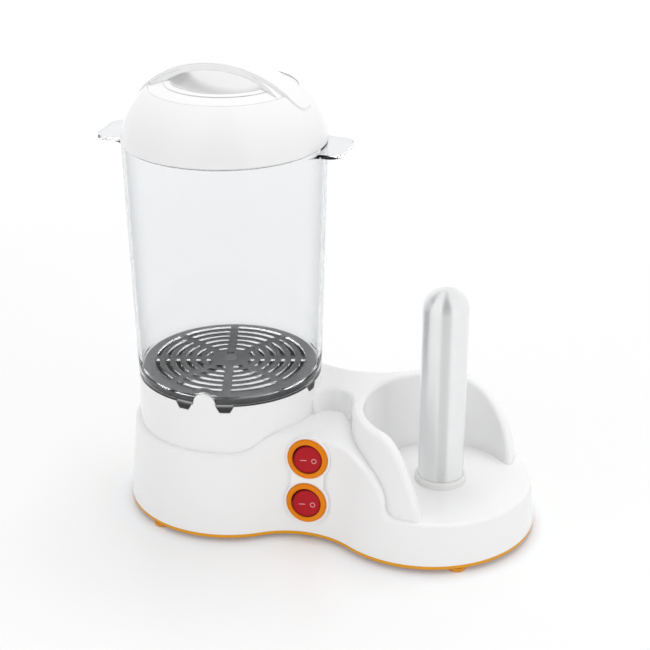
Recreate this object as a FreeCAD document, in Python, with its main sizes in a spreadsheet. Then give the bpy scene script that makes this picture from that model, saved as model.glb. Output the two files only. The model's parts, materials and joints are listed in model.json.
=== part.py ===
import FreeCAD, Part
import math
import os
import re
import Sketcher

Vec = FreeCAD.Vector
UP = Vec(0, 0, 1)

# Sizes that drive the model, in millimetres and degrees. Heights are above the table.
SIZES = {
    # Footprint: a lobe under the jar, a lobe under the spike and a waist between them
    "lobe_spacing": 121.75,
    "jar_lobe_radius": 62.0,
    "basin_lobe_radius": 63.0,
    "waist_radius": 48.5,
    "draft_angle": 5.0,
    "wall": 2.6,
    "fit_gap": 0.3,
    "slide_gap": 0.05,
    # Feet and base plate
    "foot_height": 2.5,
    "foot_radius": 5.5,
    "foot_peg_radius": 2.0,
    "foot_peg_length": 1.5,
    "foot_inset": 5.5,
    "foot_angle": 61.0,
    "plate_thick": 2.5,
    "plate_edge_round": 1.0,
    "plate_rim_height": 4.0,
    "plate_rim_thick": 1.2,
    "screw_cup_radius": 5.2,
    "screw_cup_rise": 2.5,
    "screw_head_radius": 3.2,
    "screw_head_height": 2.2,
    "screw_head_depth": 3.2,
    "screw_shank_radius": 1.5,
    "screw_length": 14.0,
    "screw_slot_width": 0.8,
    "screw_slot_depth": 0.9,
    "screw_cup_gap": 0.7,
    "boss_radius": 4.0,
    "jar_boss_angle": 140.0,
    "basin_boss_angle": 33.0,
    # Top line of the skirt, seen from the front; what starts or ends does so along X from the waist
    "shoulder_height": 55.0,
    "console_height": 65.0,
    "basin_floor_height": 30.5,
    "rise_start": -42.0,
    "rise_end": -15.0,
    "fall_start": 6.0,
    "fall_length": 43.0,
    "fall_toe": 6.0,
    "skirt_edge_round": 2.2,
    # Tower that carries the pan and the jar
    "tower_low_radius": 55.3,
    "tower_top_radius": 54.1,
    "tower_height": 84.4,
    "tower_wall": 4.0,
    "tower_top_thick": 3.0,
    "pan_opening_radius": 47.0,
    "key_angle": -87.6,
    "key_half_width": 6.45,
    "key_height": 7.4,
    "key_thick": 1.7,
    # Deck between the tower and the bun well; its front hollow is placed from the waist
    "deck_height": 77.5,
    "deck_front_offset": 5.3,
    "deck_front_depth": 12.5,
    "deck_front_radius": 13.0,
    "deck_front_lean_angle": 16.0,
    "deck_back_radius": 54.0,
    # Bun well round the spike, which stands off the middle of its lobe; the falls are along X from it
    "spike_offset": 8.25,
    "spike_y": -5.0,
    "well_floor_radius": 43.0,
    "well_rim_radius": 45.5,
    "well_outer_radius": 52.0,
    "well_draft_angle": 1.7,
    "well_edge_round": 2.6,
    "arm_fall_start": -27.0,
    "arm_fall_shoulder": -15.0,
    "arm_fall_knee": -9.0,
    "arm_knee_height": 58.0,
    "arm_fall_end": 0.5,
    "back_fall_start": -8.0,
    "back_fall_length": 46.0,
    # Switch panel
    "panel_lean_angle": 6.4,
    "panel_height": 39.2,
    "panel_proud": 2.3,
    "switch_spacing": 27.1,
    "pad_lip_width": 1.5,
    "pad_lip_height": 0.8,
    "pad_neck_half_width": 9.8,
    "flange_radius": 11.85,
    "flange_thick": 1.8,
    "flange_edge": 0.4,
    "barrel_radius": 10.0,
    "barrel_length": 14.0,
    "rocker_well_radius": 8.8,
    "rocker_well_depth": 5.5,
    "rocker_radius": 8.2,
    "rocker_top": 2.7,
    "rocker_bottom": 3.6,
    "rocker_top_edge": 0.4,
    "rocker_bottom_edge": 0.8,
    "rocker_dish_radius": 42.0,
    "rocker_dish_depth": 0.8,
    "rocker_tilt_angle": 7.0,
    "pivot_depth": 2.0,
    "pivot_radius": 1.0,
    "pivot_half_length": 9.5,
    "blade_length": 8.0,
    "blade_width": 4.8,
    "blade_thick": 0.8,
    "blade_offset": 4.0,
    # Heating pan and what hangs under it
    "seal_thick": 0.8,
    "seal_width": 2.2,
    "pan_lip_radius": 51.4,
    "pan_rim_rise": 3.6,
    "pan_bore_radius": 45.0,
    "pan_depth": 12.0,
    "pan_sheet": 1.2,
    "stud_radius": 2.5,
    "stud_length": 21.0,
    "heater_plate_radius": 40.0,
    "heater_plate_thick": 5.0,
    "heater_ring_radius": 30.0,
    "heater_rod_radius": 3.2,
    "heater_sweep_angle": 320.0,
    "heater_start_angle": 110.0,
    "heater_pin_inset": 4.0,
    "heater_pin_radius": 1.6,
    "heater_pin_length": 12.0,
    "yoke_span": 49.2,
    "yoke_sheet": 2.0,
    "yoke_width": 13.0,
    "yoke_drop": 21.4,
    "nut_across_corners": 9.2,
    "nut_thick": 4.0,
    "thermostat_radius": 8.0,
    "thermostat_height": 8.0,
    "thermostat_offset": 16.0,
    "fuse_radius": 2.0,
    "fuse_length": 11.0,
    # Bun spike
    "spike_radius": 13.2,
    "spike_sheet": 1.5,
    "spike_height": 120.0,
    "spike_tip_round": 11.5,
    "spike_flange_radius": 19.0,
    "spike_flange_thick": 2.0,
    "collar_radius": 15.0,
    "collar_height": 4.0,
    "collar_spigot_radius": 14.3,
    "collar_chamfer": 1.2,
    "clamp_side": 52.0,
    "clamp_thick": 1.5,
    "clamp_bore_radius": 12.0,
    "clamp_post_radius": 3.5,
    "clamp_post_offset": 20.0,
    "spike_heater_radius": 5.0,
    "spike_heater_low": 8.0,
    "spike_heater_length": 100.0,
    "insulator_thick": 4.0,
    "insulator_low": 14.0,
    "insulator_spacing": 80.0,
    # Cable gland and terminal block at the back
    "gland_height": 19.0,
    "gland_pad_radius": 9.5,
    "gland_pad_proud": 1.5,
    "gland_pad_thick": 5.0,
    "gland_barrel_radius": 5.0,
    "gland_barrel_length": 9.0,
    "gland_flange_radius": 8.0,
    "gland_flange_thick": 2.0,
    "gland_nose_length": 10.0,
    "gland_nose_radius": 5.4,
    "gland_nose_taper": 1.0,
    "gland_bore_radius": 3.6,
    "gland_nut_radius": 7.5,
    "gland_nut_thick": 3.0,
    "block_length": 30.0,
    "block_width": 14.0,
    "block_height": 11.0,
    "block_back_gap": 20.0,
    "lead_radius": 1.0,
    # Jar
    "jar_low_radius": 54.2,
    "jar_top_radius": 58.0,
    "jar_height": 142.1,
    "jar_wall": 2.0,
    "jar_neck_inset": 3.2,
    "jar_neck_rise": 4.0,
    "jar_shoulder_thick": 1.5,
    "jar_floor_rise": 4.0,
    "jar_floor_thick": 1.6,
    "jar_foot_length": 3.7,
    "jar_foot_width": 9.4,
    "jar_foot_tip_width": 5.4,
    "jar_foot_shoulder": 0.5,
    "notch_gap": 0.4,
    "notch_wall": 1.8,
    "slot_width": 2.6,
    "slot_pitch": 6.0,
    "slot_first_radius": 12.0,
    "slot_last_radius": 46.0,
    "rib_width": 5.0,
    "rib_angle": -74.6,
    "floor_cone_radius": 5.0,
    "floor_cone_tip_radius": 1.0,
    "floor_cone_height": 4.5,
    "tab_reach": 72.0,
    "tab_half_width": 17.0,
    "tab_thick": 2.4,
    "tab_corner": 8.0,
    "tab_flare": 8.0,
    # Lid
    "lid_radius": 58.3,
    "lid_rise": 43.8,
    "lid_centre_drop": 3.0,
    "lid_turn_angle": -4.6,
    "lid_wall": 2.5,
    "recess_radius": 41.7,
    "recess_step": 0.8,
    "terrace_rise": 3.6,
    "bowl_rim_radius": 30.5,
    "bowl_depth": 9.0,
    "grip_proud": 0.9,
    "grip_thick": 3.8,
    "grip_root_thick": 5.4,
    "grip_end_half_width": 16.0,
    "grip_half_width": 9.5,
    "flare_half_width": 7.5,
    "grip_end_height": 22.0,
    "grip_reach": 50.0,
    "grip_corner_radius": 7.0,
}

# Angles of the jar's keys round its axis: two beside the notch and two towards the deck
JAR_FOOT_ANGLES = (-101.0, -75.0, -11.0, 23.0)
# Straight bars across the jar's floor, each making two ribs
RIB_BARS = 4
# Steps of the quarter round on the base plate's lower edge
EDGE_STEPS = 3
# Share of up in a face's normal above which it counts as level, and below which as a wall
LEVEL_SHARE = 0.36
WALL_SHARE = 0.3

doc = FreeCAD.newDocument("hot_dog_steamer")
sheet = doc.addObject("Spreadsheet::Sheet", "Sizes")
for row, (alias, value) in enumerate(SIZES.items(), start=1):
    sheet.set(f"A{row}", alias)
    sheet.set(f"B{row}", str(value))
    sheet.setAlias(f"B{row}", alias)
doc.recompute()

# Every finished piece by its node name, in the order in which it is made
PIECES = {}


def size(name):
    """Value of one named size in the sheet."""
    return float(sheet.get(name))


def formula(text):
    """Expression text in which each named size stands for its cell."""
    return re.sub(r"[a-z]\w*", lambda word: "Sizes." + word[0] if word[0] in SIZES else word[0], text)


def bind(item, links):
    """Tie properties of a document object to expressions of the named sizes."""
    for path, text in links.items():
        item.setExpression(path, formula(text))
    return item


def add(kind, name, links):
    """New document object with its properties tied to the sheet."""
    return bind(doc.addObject(kind, name), links)


def node(item, label):
    """Give a finished piece its label and enter it in the list of pieces."""
    item.Label = label
    PIECES[label] = item
    return item


def shape_node(label, shape):
    """Piece whose shape is worked out by Part's own functions."""
    item = doc.addObject("Part::Feature", label)
    item.Shape = shape
    return node(item, label)


def compound(name, members):
    """Several separate solids as one document object."""
    group = doc.addObject("Part::Compound", name)
    group.Links = members
    return group


def joined(name, members):
    """Union of document objects."""
    union = doc.addObject("Part::MultiFuse", name)
    union.Shapes = members
    return union


def cut(name, base, tool):
    """One document object cut from another."""
    result = doc.addObject("Part::Cut", name)
    result.Base = base
    result.Tool = tool
    return result


def common(name, base, tool):
    """What two document objects share."""
    result = doc.addObject("Part::Common", name)
    result.Base = base
    result.Tool = tool
    return result


def outline_sketch(body, role, corners, name):
    """Closed sketch of straight lines whose corners are tied to the sheet."""
    sketch = body.newObject("Sketcher::SketchObject", name)
    plane = next(plane for plane in body.Origin.OriginFeatures if plane.Role == role)
    sketch.AttachmentSupport = [(plane, "")]
    sketch.MapMode = "FlatFace"
    count = len(corners)
    turn = 2 * math.pi / count
    guess = [Vec(50 * math.cos(turn * i), 50 * math.sin(turn * i), 0) for i in range(count)]
    for i in range(count):
        sketch.addGeometry(Part.LineSegment(guess[i], guess[(i + 1) % count]), False)
    for i in range(count):
        sketch.addConstraint(Sketcher.Constraint("Coincident", i, 2, (i + 1) % count, 1))
    for i, (across, along) in enumerate(corners):
        for kind, text, start in (("DistanceX", across, guess[i].x), ("DistanceY", along, guess[i].y)):
            number = sketch.addConstraint(Sketcher.Constraint(kind, -1, 1, i, 1, start))
            sketch.setExpression(f"Constraints[{number}]", formula(text))
    return sketch


def turned_body(name, corners):
    """PartDesign body turned about its own upright axis from a half outline."""
    body = doc.addObject("PartDesign::Body", name)
    sketch = outline_sketch(body, "XZ_Plane", corners, name + "_outline")
    turned = body.newObject("PartDesign::Revolution", name + "_turned")
    turned.Profile = sketch
    turned.ReferenceAxis = (sketch, ["V_Axis"])
    turned.Angle = 360
    sketch.Visibility = False
    return body


def round_edges(body, name, radius, chosen):
    """PartDesign fillet on the edges of the body's tip that a test picks."""
    doc.recompute()
    base = body.Tip
    picked = [f"Edge{i}" for i, edge in enumerate(base.Shape.Edges, start=1) if chosen(edge)]
    fillet = body.newObject("PartDesign::Fillet", name)
    fillet.Base = (base, picked)
    bind(fillet, {"Radius": radius})
    return fillet


def is_circle(edge, radius, height):
    """Whether an edge is a level circle of this radius and height."""
    curve = edge.Curve
    return (isinstance(curve, Part.Circle) and abs(curve.Radius - radius) < 0.01
            and abs(curve.Center.z - height) < 0.01)


# Places that follow from the sizes: the origin is under the middle of the whole object
JAR_X = "(tab_reach - lobe_spacing - basin_lobe_radius) / 2"
SPIKE_X = JAR_X + " + lobe_spacing + spike_offset"
FLOOR_UNDER = "(basin_floor_height - wall)"
PAN_FLOOR = "(tower_height + pan_rim_rise - pan_depth)"
PAN_UNDER = "(" + PAN_FLOOR + " - pan_sheet)"
HEATER_UNDER = "(" + PAN_UNDER + " - heater_plate_thick)"
JAR_TOP = "(tower_height + jar_height)"

jar_x = (size("tab_reach") - size("lobe_spacing") - size("basin_lobe_radius")) / 2
basin_x = jar_x + size("lobe_spacing")
spike_x = basin_x + size("spike_offset")
spike_y = size("spike_y")
plate_top = size("foot_height") + size("plate_thick")
floor_top = size("basin_floor_height")
floor_under = floor_top - size("wall")
jar_top = size("tower_height") + size("jar_height")
draft = math.tan(math.radians(size("draft_angle")))

# The waist circles touch both lobes, whose tapers leave their centres in place
near = size("jar_lobe_radius") + size("waist_radius")
far = size("basin_lobe_radius") + size("waist_radius")
spacing = size("lobe_spacing")
waist_reach = (spacing ** 2 + near ** 2 - far ** 2) / (2 * spacing)
waist_x = jar_x + waist_reach
waist_y = math.sqrt(near ** 2 - waist_reach ** 2)


def waist_half(height):
    """Half the width of the waist at a height above the table."""
    return waist_y - size("waist_radius") - draft * (height - plate_top)


def arc_edge(centre, radius, start, end, through):
    """Level arc between two points, passing on the side of a third."""
    middle = centre + (through - centre).normalize() * radius
    return Part.Arc(start, middle, end).toShape()


def footprint(inset, height):
    """Closed wire of the two lobes and the waists between them, drawn in by an inset."""
    jar = Vec(jar_x, 0, height)
    basin = Vec(basin_x, 0, height)
    jar_radius = size("jar_lobe_radius") - inset
    basin_radius = size("basin_lobe_radius") - inset
    waist_radius = size("waist_radius") + inset
    front = Vec(waist_x, -waist_y, height)
    back = Vec(waist_x, waist_y, height)
    jar_front = jar + (front - jar).normalize() * jar_radius
    jar_back = jar + (back - jar).normalize() * jar_radius
    basin_front = basin + (front - basin).normalize() * basin_radius
    basin_back = basin + (back - basin).normalize() * basin_radius
    edges = [
        arc_edge(jar, jar_radius, jar_back, jar_front, jar - Vec(1, 0, 0)),
        arc_edge(front, waist_radius, jar_front, basin_front, (jar_front + basin_front) / 2),
        arc_edge(basin, basin_radius, basin_front, basin_back, basin + Vec(1, 0, 0)),
        arc_edge(back, waist_radius, basin_back, jar_back, (jar_back + basin_back) / 2),
    ]
    return Part.Wire(edges)


def footprint_solid(inset, low, high):
    """Drafted solid of the footprint between two heights."""
    lower = inset + draft * (low - plate_top)
    upper = inset + draft * (high - plate_top)
    return Part.makeLoft([footprint(lower, low), footprint(upper, high)], True, True)


def line(start, end):
    """Straight edge."""
    return Part.makeLine(start, end)


def bezier(*poles):
    """Bezier edge through its end poles."""
    curve = Part.BezierCurve()
    curve.setPoles(list(poles))
    return curve.toShape()


def quarter_fall(centre, length, rise):
    """Quarter ellipse in the XZ plane from the point above its centre to the one beside it."""
    if length >= rise:
        ellipse = Part.Ellipse(centre + Vec(length, 0, 0), centre + Vec(0, 0, rise), centre)
    else:
        ellipse = Part.Ellipse(centre + Vec(0, 0, rise), centre + Vec(length, 0, 0), centre)
    top = ellipse.parameter(centre + Vec(0, 0, rise))
    side = ellipse.parameter(centre + Vec(length, 0, 0))
    first, last = sorted((top, side))
    if last - first > math.pi:
        first, last = last, first + 2 * math.pi
    return Part.ArcOfEllipse(ellipse, first, last).toShape()


def below_line(edges, low, depth_low, depth_high):
    """Solid under a chain of edges in the XZ plane, down to a height, between two depths."""
    chain = Part.Wire(Part.__sortEdges__(edges))
    ends = sorted((vertex.Point for vertex in chain.OrderedVertexes), key=lambda point: point.x)
    left, right = ends[0], ends[-1]
    closing = [
        line(left, Vec(left.x, 0, low)),
        line(Vec(left.x, 0, low), Vec(right.x, 0, low)),
        line(Vec(right.x, 0, low), right),
    ]
    face = Part.Face(Part.Wire(Part.__sortEdges__(edges + closing)))
    face.translate(Vec(0, depth_low, 0))
    return face.extrude(Vec(0, depth_high - depth_low, 0))


def under_skirt_line(drop):
    """Solid below the skirt's top line, lowered by a wall's thickness inside the housing."""
    shoulder = size("shoulder_height") - drop
    console = size("console_height") - drop
    floor = size("basin_floor_height") - drop
    toe = size("fall_toe")
    rise_start = waist_x + size("rise_start")
    rise_end = waist_x + size("rise_end")
    rise_middle = (rise_start + rise_end) / 2
    fall_start = waist_x + size("fall_start")
    fall_end = fall_start + size("fall_length") - drop
    left = jar_x - 2 * size("jar_lobe_radius")
    right = basin_x + 2 * size("basin_lobe_radius")
    turn = math.sqrt(0.5) * toe
    edges = [
        line(Vec(left, 0, shoulder), Vec(rise_start, 0, shoulder)),
        bezier(Vec(rise_start, 0, shoulder), Vec(rise_middle, 0, shoulder),
               Vec(rise_middle, 0, console), Vec(rise_end, 0, console)),
        line(Vec(rise_end, 0, console), Vec(fall_start, 0, console)),
        quarter_fall(Vec(fall_start, 0, floor + toe), fall_end - fall_start, console - floor - toe),
        Part.Arc(Vec(fall_end, 0, floor + toe),
                 Vec(fall_end + toe - turn, 0, floor + toe - turn),
                 Vec(fall_end + toe, 0, floor)).toShape(),
        line(Vec(fall_end + toe, 0, floor), Vec(right, 0, floor)),
    ]
    depth = 2 * size("basin_lobe_radius")
    return below_line(edges, 0, -depth, depth)


def cone(x, y, low, high, low_radius, high_radius):
    """Upright cone or cylinder between two heights."""
    if abs(low_radius - high_radius) < 1e-6:
        return Part.makeCylinder(low_radius, high - low, Vec(x, y, low), UP)
    return Part.makeCone(low_radius, high_radius, high - low, Vec(x, y, low), UP)


def prism(points, low, high):
    """Upright prism over a closed polygon of plan points."""
    corners = [Vec(x, y, low) for x, y in points]
    return Part.Face(Part.makePolygon(corners + corners[:1])).extrude(Vec(0, 0, high - low))


def polar(centre_x, centre_y, radius, angle):
    """Plan point at a radius and an angle in degrees from a centre."""
    turn = math.radians(angle)
    return centre_x + radius * math.cos(turn), centre_y + radius * math.sin(turn)


def up_and_wall_edges(shape, lowest):
    """Convex or concave edges between a face that looks up and a wall, above a height."""
    found = []
    for edge in shape.Edges:
        middle = edge.valueAt((edge.FirstParameter + edge.LastParameter) / 2)
        faces = shape.ancestorsOfType(edge, Part.Face)
        if middle.z < lowest or len(faces) != 2:
            continue
        slopes = []
        for face in faces:
            across, along = face.Surface.parameter(middle)
            slopes.append(abs(face.normalAt(across, along).z))
        if max(slopes) > LEVEL_SHARE and min(slopes) < WALL_SHARE:
            found.append(edge)
    return found


# Panel frame: its Z points out of the switches, its Y up the panel
panel_base = Vec(waist_x, -(waist_half(size("panel_height")) + size("panel_proud")), size("panel_height"))
panel_turn = FreeCAD.Rotation(Vec(1, 0, 0), 90 - size("panel_lean_angle"))
panel_up = panel_turn.multVec(Vec(0, 1, 0))


def switch_place(side):
    """Placement of the upper switch for a side of 1 and of the lower one for -1."""
    return FreeCAD.Placement(panel_base + panel_up * (side * size("switch_spacing") / 2), panel_turn)


def switch_pad():
    """Raised surround of both switches, in the panel's frame, with the seats of their flanges."""
    depth = 3 * size("wall")
    lip = size("pad_lip_height")
    radius = size("flange_radius") + size("pad_lip_width")
    seat_radius = size("flange_radius") + size("fit_gap") / 2
    half = size("switch_spacing") / 2
    neck = size("pad_neck_half_width")
    pad = Part.makeBox(2 * neck, 2 * half, depth + lip, Vec(-neck, -half, -depth))
    seats = []
    for side in (-1, 1):
        pad = pad.fuse(Part.makeCylinder(radius, depth + lip, Vec(0, side * half, -depth), UP))
        seats.append(Part.makeCylinder(seat_radius, 2 * lip, Vec(0, side * half, 0), UP))
    pad = pad.removeSplitter().cut(seats)
    return pad


def deck():
    """Level bridge from the tower to the bun well, hollowed round by a cone at the front and back."""
    low = size("basin_floor_height") + size("wall")
    high = size("deck_height")
    front_x = waist_x + size("deck_front_offset")
    front_y = -size("deck_front_depth")
    back_radius = size("deck_back_radius")
    tower_reach = size("tower_low_radius") + back_radius
    well_reach = size("well_outer_radius") + back_radius
    jar_to_spike = Vec(spike_x - jar_x, spike_y, 0)
    gap = jar_to_spike.Length
    along = (gap ** 2 + tower_reach ** 2 - well_reach ** 2) / (2 * gap)
    across = math.sqrt(tower_reach ** 2 - along ** 2)
    forward = jar_to_spike.normalize()
    back_x = jar_x + forward.x * along - forward.y * across
    back_y = forward.y * along + forward.x * across
    block = prism([(jar_x, 0), (front_x, front_y), (spike_x, spike_y), (back_x, back_y)], low, high)
    lean = math.tan(math.radians(size("deck_front_lean_angle")))
    front_low = size("deck_front_radius") - lean * (high - low)
    front = cone(front_x, front_y, low, high, front_low, size("deck_front_radius"))
    back = cone(back_x, back_y, low, high, back_radius, back_radius)
    return block.cut([front, back])


def well_wall():
    """Wall round the back and left of the bun well, falling in an arm to the front."""
    high = size("deck_height")
    low = size("basin_floor_height") - size("wall")
    reach = 2 * size("well_outer_radius")
    spread = math.tan(math.radians(size("well_draft_angle"))) * (high - low)
    ring = cone(spike_x, spike_y, low, high, size("well_outer_radius") + spread, size("well_outer_radius"))
    left = spike_x - reach
    arm_line = [
        line(Vec(left, 0, high), Vec(spike_x + size("arm_fall_start"), 0, high)),
        bezier(Vec(spike_x + size("arm_fall_start"), 0, high),
               Vec(spike_x + size("arm_fall_shoulder"), 0, high),
               Vec(spike_x + size("arm_fall_knee"), 0, size("arm_knee_height")),
               Vec(spike_x + size("arm_fall_end"), 0, low)),
    ]
    back_start = spike_x + size("back_fall_start")
    back_line = [
        line(Vec(left, 0, high), Vec(back_start, 0, high)),
        quarter_fall(Vec(back_start, 0, low), size("back_fall_length"), high - low),
    ]
    arm = below_line(arm_line, low - 1, spike_y - reach, spike_y)
    back = below_line(back_line, low - 1, spike_y, spike_y + reach)
    return ring.common(arm.fuse(back))


def well_pocket(extra, low):
    """Round space of the bun well, grown by an extra thickness."""
    floor = size("basin_floor_height")
    rim = size("deck_height") + 2 * size("wall")
    slope = (size("well_rim_radius") - size("well_floor_radius")) / (size("deck_height") - floor)
    low_radius = size("well_floor_radius") + extra + slope * (low - floor)
    high_radius = size("well_floor_radius") + extra + slope * (rim - floor)
    return cone(spike_x, spike_y, low, rim, low_radius, high_radius)


def boss_places():
    """Plan points of the screw bosses, two in each lobe, whose cups clear the base plate's rim."""
    inset = size("wall") + size("fit_gap") + size("screw_cup_radius") + size("screw_cup_gap")
    places = []
    for side in (-1, 1):
        places.append(polar(jar_x, 0, size("jar_lobe_radius") - inset, side * size("jar_boss_angle")))
        places.append(polar(basin_x, 0, size("basin_lobe_radius") - inset, side * size("basin_boss_angle")))
    return places


def foot_places():
    """Plan points of the feet, two under each lobe."""
    inset = size("foot_inset")
    places = []
    for side in (-1, 1):
        places.append(polar(jar_x, 0, size("jar_lobe_radius") - inset, side * (180 - size("foot_angle"))))
        places.append(polar(basin_x, 0, size("basin_lobe_radius") - inset, side * size("foot_angle")))
    return places


def jar_foot(grow, inner, outer):
    """Keys below the jar's skirt, or the recesses for them, between two radii."""
    seat = size("tower_height")
    low = seat - size("jar_foot_length") - grow
    half_top = size("jar_foot_width") / 2 + grow
    half_tip = size("jar_foot_tip_width") / 2 + grow
    high = seat + size("wall") * (0 if grow else 1)
    shoulder = seat - size("jar_foot_shoulder")
    start = inner / 2
    outline = [Vec(start, -half_top, high), Vec(start, -half_top, shoulder),
               Vec(start, -half_tip, low), Vec(start, half_tip, low),
               Vec(start, half_top, shoulder), Vec(start, half_top, high)]
    wedge = Part.Face(Part.makePolygon(outline + outline[:1])).extrude(Vec(outer, 0, 0))
    ring = cone(0, 0, low, high, outer, outer).cut(cone(0, 0, low, high, inner, inner))
    foot = wedge.common(ring)
    feet = []
    for angle in JAR_FOOT_ANGLES:
        copy = foot.copy()
        copy.rotate(Vec(0, 0, 0), UP, angle)
        copy.translate(Vec(jar_x, 0, 0))
        feet.append(copy)
    return feet


def arch(half_width, height, low, inner, outer):
    """Round-headed block that stands at the key's angle between two radii."""
    top = height - half_width
    outline = Part.Wire([
        line(Vec(inner, -half_width, low), Vec(inner, -half_width, top)),
        Part.Arc(Vec(inner, -half_width, top), Vec(inner, 0, height), Vec(inner, half_width, top)).toShape(),
        line(Vec(inner, half_width, top), Vec(inner, half_width, low)),
        line(Vec(inner, half_width, low), Vec(inner, -half_width, low)),
    ])
    block = Part.Face(outline).extrude(Vec(outer - inner, 0, 0))
    block.rotate(Vec(0, 0, 0), UP, size("key_angle"))
    block.translate(Vec(jar_x, 0, 0))
    return block


def gland_cylinder(radius, start, end, wall_face):
    """Cylinder along the gland's axis, its ends measured outward from the gland's seat."""
    return Part.makeCylinder(radius, end - start, Vec(waist_x, wall_face + start, size("gland_height")),
                             Vec(0, 1, 0))


gland_seat = waist_half(size("gland_height")) + size("gland_pad_proud")


def housing():
    """One-piece moulded housing, open below, with the tower, the deck and the bun well."""
    seat = size("tower_height")
    wall = size("wall")
    skirt = footprint_solid(0, plate_top, size("deck_height")).common(under_skirt_line(0))
    upper = deck().fuse(well_wall()).removeSplitter()
    upper = upper.cut(well_pocket(0, floor_top - 2 * wall))
    crest = up_and_wall_edges(upper, floor_top + 1)
    upper = upper.makeFillet(size("well_edge_round"), crest)
    skirt = skirt.makeFillet(size("skirt_edge_round"), up_and_wall_edges(skirt, floor_top - 1))
    tower = cone(jar_x, 0, plate_top, seat, size("tower_low_radius"), size("tower_top_radius"))
    body = skirt.fuse([upper, tower]).cut(well_pocket(0, floor_top))

    inner_draft = footprint_solid(wall, plate_top, size("deck_height"))
    hollow = inner_draft.common(under_skirt_line(wall))
    tower_hollow_radius = size("tower_top_radius") - size("tower_wall")
    hollow = hollow.fuse(cone(jar_x, 0, plate_top, seat - size("tower_top_thick"),
                              tower_hollow_radius, tower_hollow_radius))
    hollow = hollow.cut(well_pocket(wall, floor_under))
    opening = cone(jar_x, 0, plate_top, seat + 1, size("pan_opening_radius"), size("pan_opening_radius"))
    body = body.cut([hollow, opening])

    key = arch(size("key_half_width"), seat + size("key_height"), seat - 1,
               size("tower_top_radius") - size("key_thick"), size("tower_top_radius") + 1)
    key = key.common(cone(jar_x, 0, seat - 1, seat + 2 * size("key_height"),
                          size("tower_top_radius"), size("tower_top_radius")))
    recess_floor = size("jar_low_radius") - size("jar_wall") - size("fit_gap")
    body = body.fuse(key).cut(jar_foot(size("fit_gap"), recess_floor, size("tower_low_radius") + 2))

    pad = switch_pad()
    pad.Placement = FreeCAD.Placement(panel_base, panel_turn)
    body = body.fuse(pad)
    holes = []
    for side in (-1, 1):
        hole = Part.makeCylinder(size("barrel_radius") + size("slide_gap"), 8 * wall,
                                 Vec(0, 0, -6 * wall), UP)
        hole.Placement = switch_place(side)
        holes.append(hole)
    body = body.cut(holes)

    body = body.fuse(gland_cylinder(size("gland_pad_radius"), -size("gland_pad_thick"), 0, gland_seat))
    body = body.cut(gland_cylinder(size("gland_barrel_radius") + size("slide_gap"),
                                   -2 * size("gland_pad_thick"), 1, gland_seat))

    cup_top = plate_top + size("screw_cup_rise")
    bosses = []
    pilots = []
    for index, (x, y) in enumerate(boss_places()):
        high = size("shoulder_height") - wall / 2 if index % 2 == 0 else floor_top - wall / 2
        bosses.append(cone(x, y, cup_top, high, size("boss_radius"), size("boss_radius")))
        pilots.append(cone(x, y, cup_top, cup_top + size("screw_length"),
                           size("screw_shank_radius") + size("slide_gap"),
                           size("screw_shank_radius") + size("slide_gap")))
    plate_low = floor_under - size("spike_flange_thick")
    for across in (-1, 1):
        for along in (-1, 1):
            x = spike_x + across * size("clamp_post_offset")
            y = spike_y + along * size("clamp_post_offset")
            bosses.append(cone(x, y, plate_low, floor_top - wall / 2,
                               size("clamp_post_radius"), size("clamp_post_radius")))
            pilots.append(cone(x, y, plate_low, floor_top - wall / 2,
                               size("screw_shank_radius") + size("slide_gap"),
                               size("screw_shank_radius") + size("slide_gap")))
    body = body.fuse(bosses).cut(pilots)
    collar_hole = size("collar_spigot_radius") + size("slide_gap")
    body = body.cut(cone(spike_x, spike_y, floor_under - 1, floor_top + 1, collar_hole, collar_hole))
    return body.removeSplitter()


def base_plate():
    """Base plate with a rounded lower edge, a locating rim and cups for the screws."""
    low = size("foot_height")
    edge = size("plate_edge_round")
    turns = [math.pi / 2 * step / EDGE_STEPS for step in range(EDGE_STEPS + 1)]
    sections = [footprint(edge * (1 - math.sin(turn)), low + edge * (1 - math.cos(turn))) for turn in turns]
    plate = Part.makeLoft(sections + [footprint(0, plate_top)], True, True)
    rim_inset = size("wall") + size("fit_gap")
    rim_top = plate_top + size("plate_rim_height")
    rim = footprint_solid(rim_inset, plate_top, rim_top)
    rim = rim.cut(footprint_solid(rim_inset + size("plate_rim_thick"), plate_top, rim_top))
    cups = []
    holes = []
    cup_top = plate_top + size("screw_cup_rise")
    for x, y in boss_places():
        cups.append(cone(x, y, plate_top - size("plate_thick") / 2, cup_top,
                         size("screw_cup_radius"), size("screw_cup_radius")))
        holes.append(cone(x, y, low, low + size("screw_head_depth"),
                          size("screw_head_radius") + size("fit_gap"),
                          size("screw_head_radius") + size("fit_gap")))
        holes.append(cone(x, y, low, cup_top, size("screw_shank_radius") + size("fit_gap"),
                          size("screw_shank_radius") + size("fit_gap")))
    for x, y in foot_places():
        holes.append(cone(x, y, low, low + size("foot_peg_length") + size("slide_gap"),
                          size("foot_peg_radius") + size("slide_gap"),
                          size("foot_peg_radius") + size("slide_gap")))
    return plate.fuse([rim] + cups).cut(holes).removeSplitter()


def feet():
    """Four soft feet with pegs that press into the base plate."""
    solids = []
    low = size("foot_height")
    for x, y in foot_places():
        pad = cone(x, y, 0, low, size("foot_radius"), size("foot_radius"))
        bottom = [edge for edge in pad.Edges if is_circle(edge, size("foot_radius"), 0)]
        pad = pad.makeFillet(size("foot_height") / 3, bottom)
        peg = cone(x, y, low, low + size("foot_peg_length"), size("foot_peg_radius"), size("foot_peg_radius"))
        solids.append(pad.fuse(peg))
    return Part.makeCompound(solids)


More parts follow.
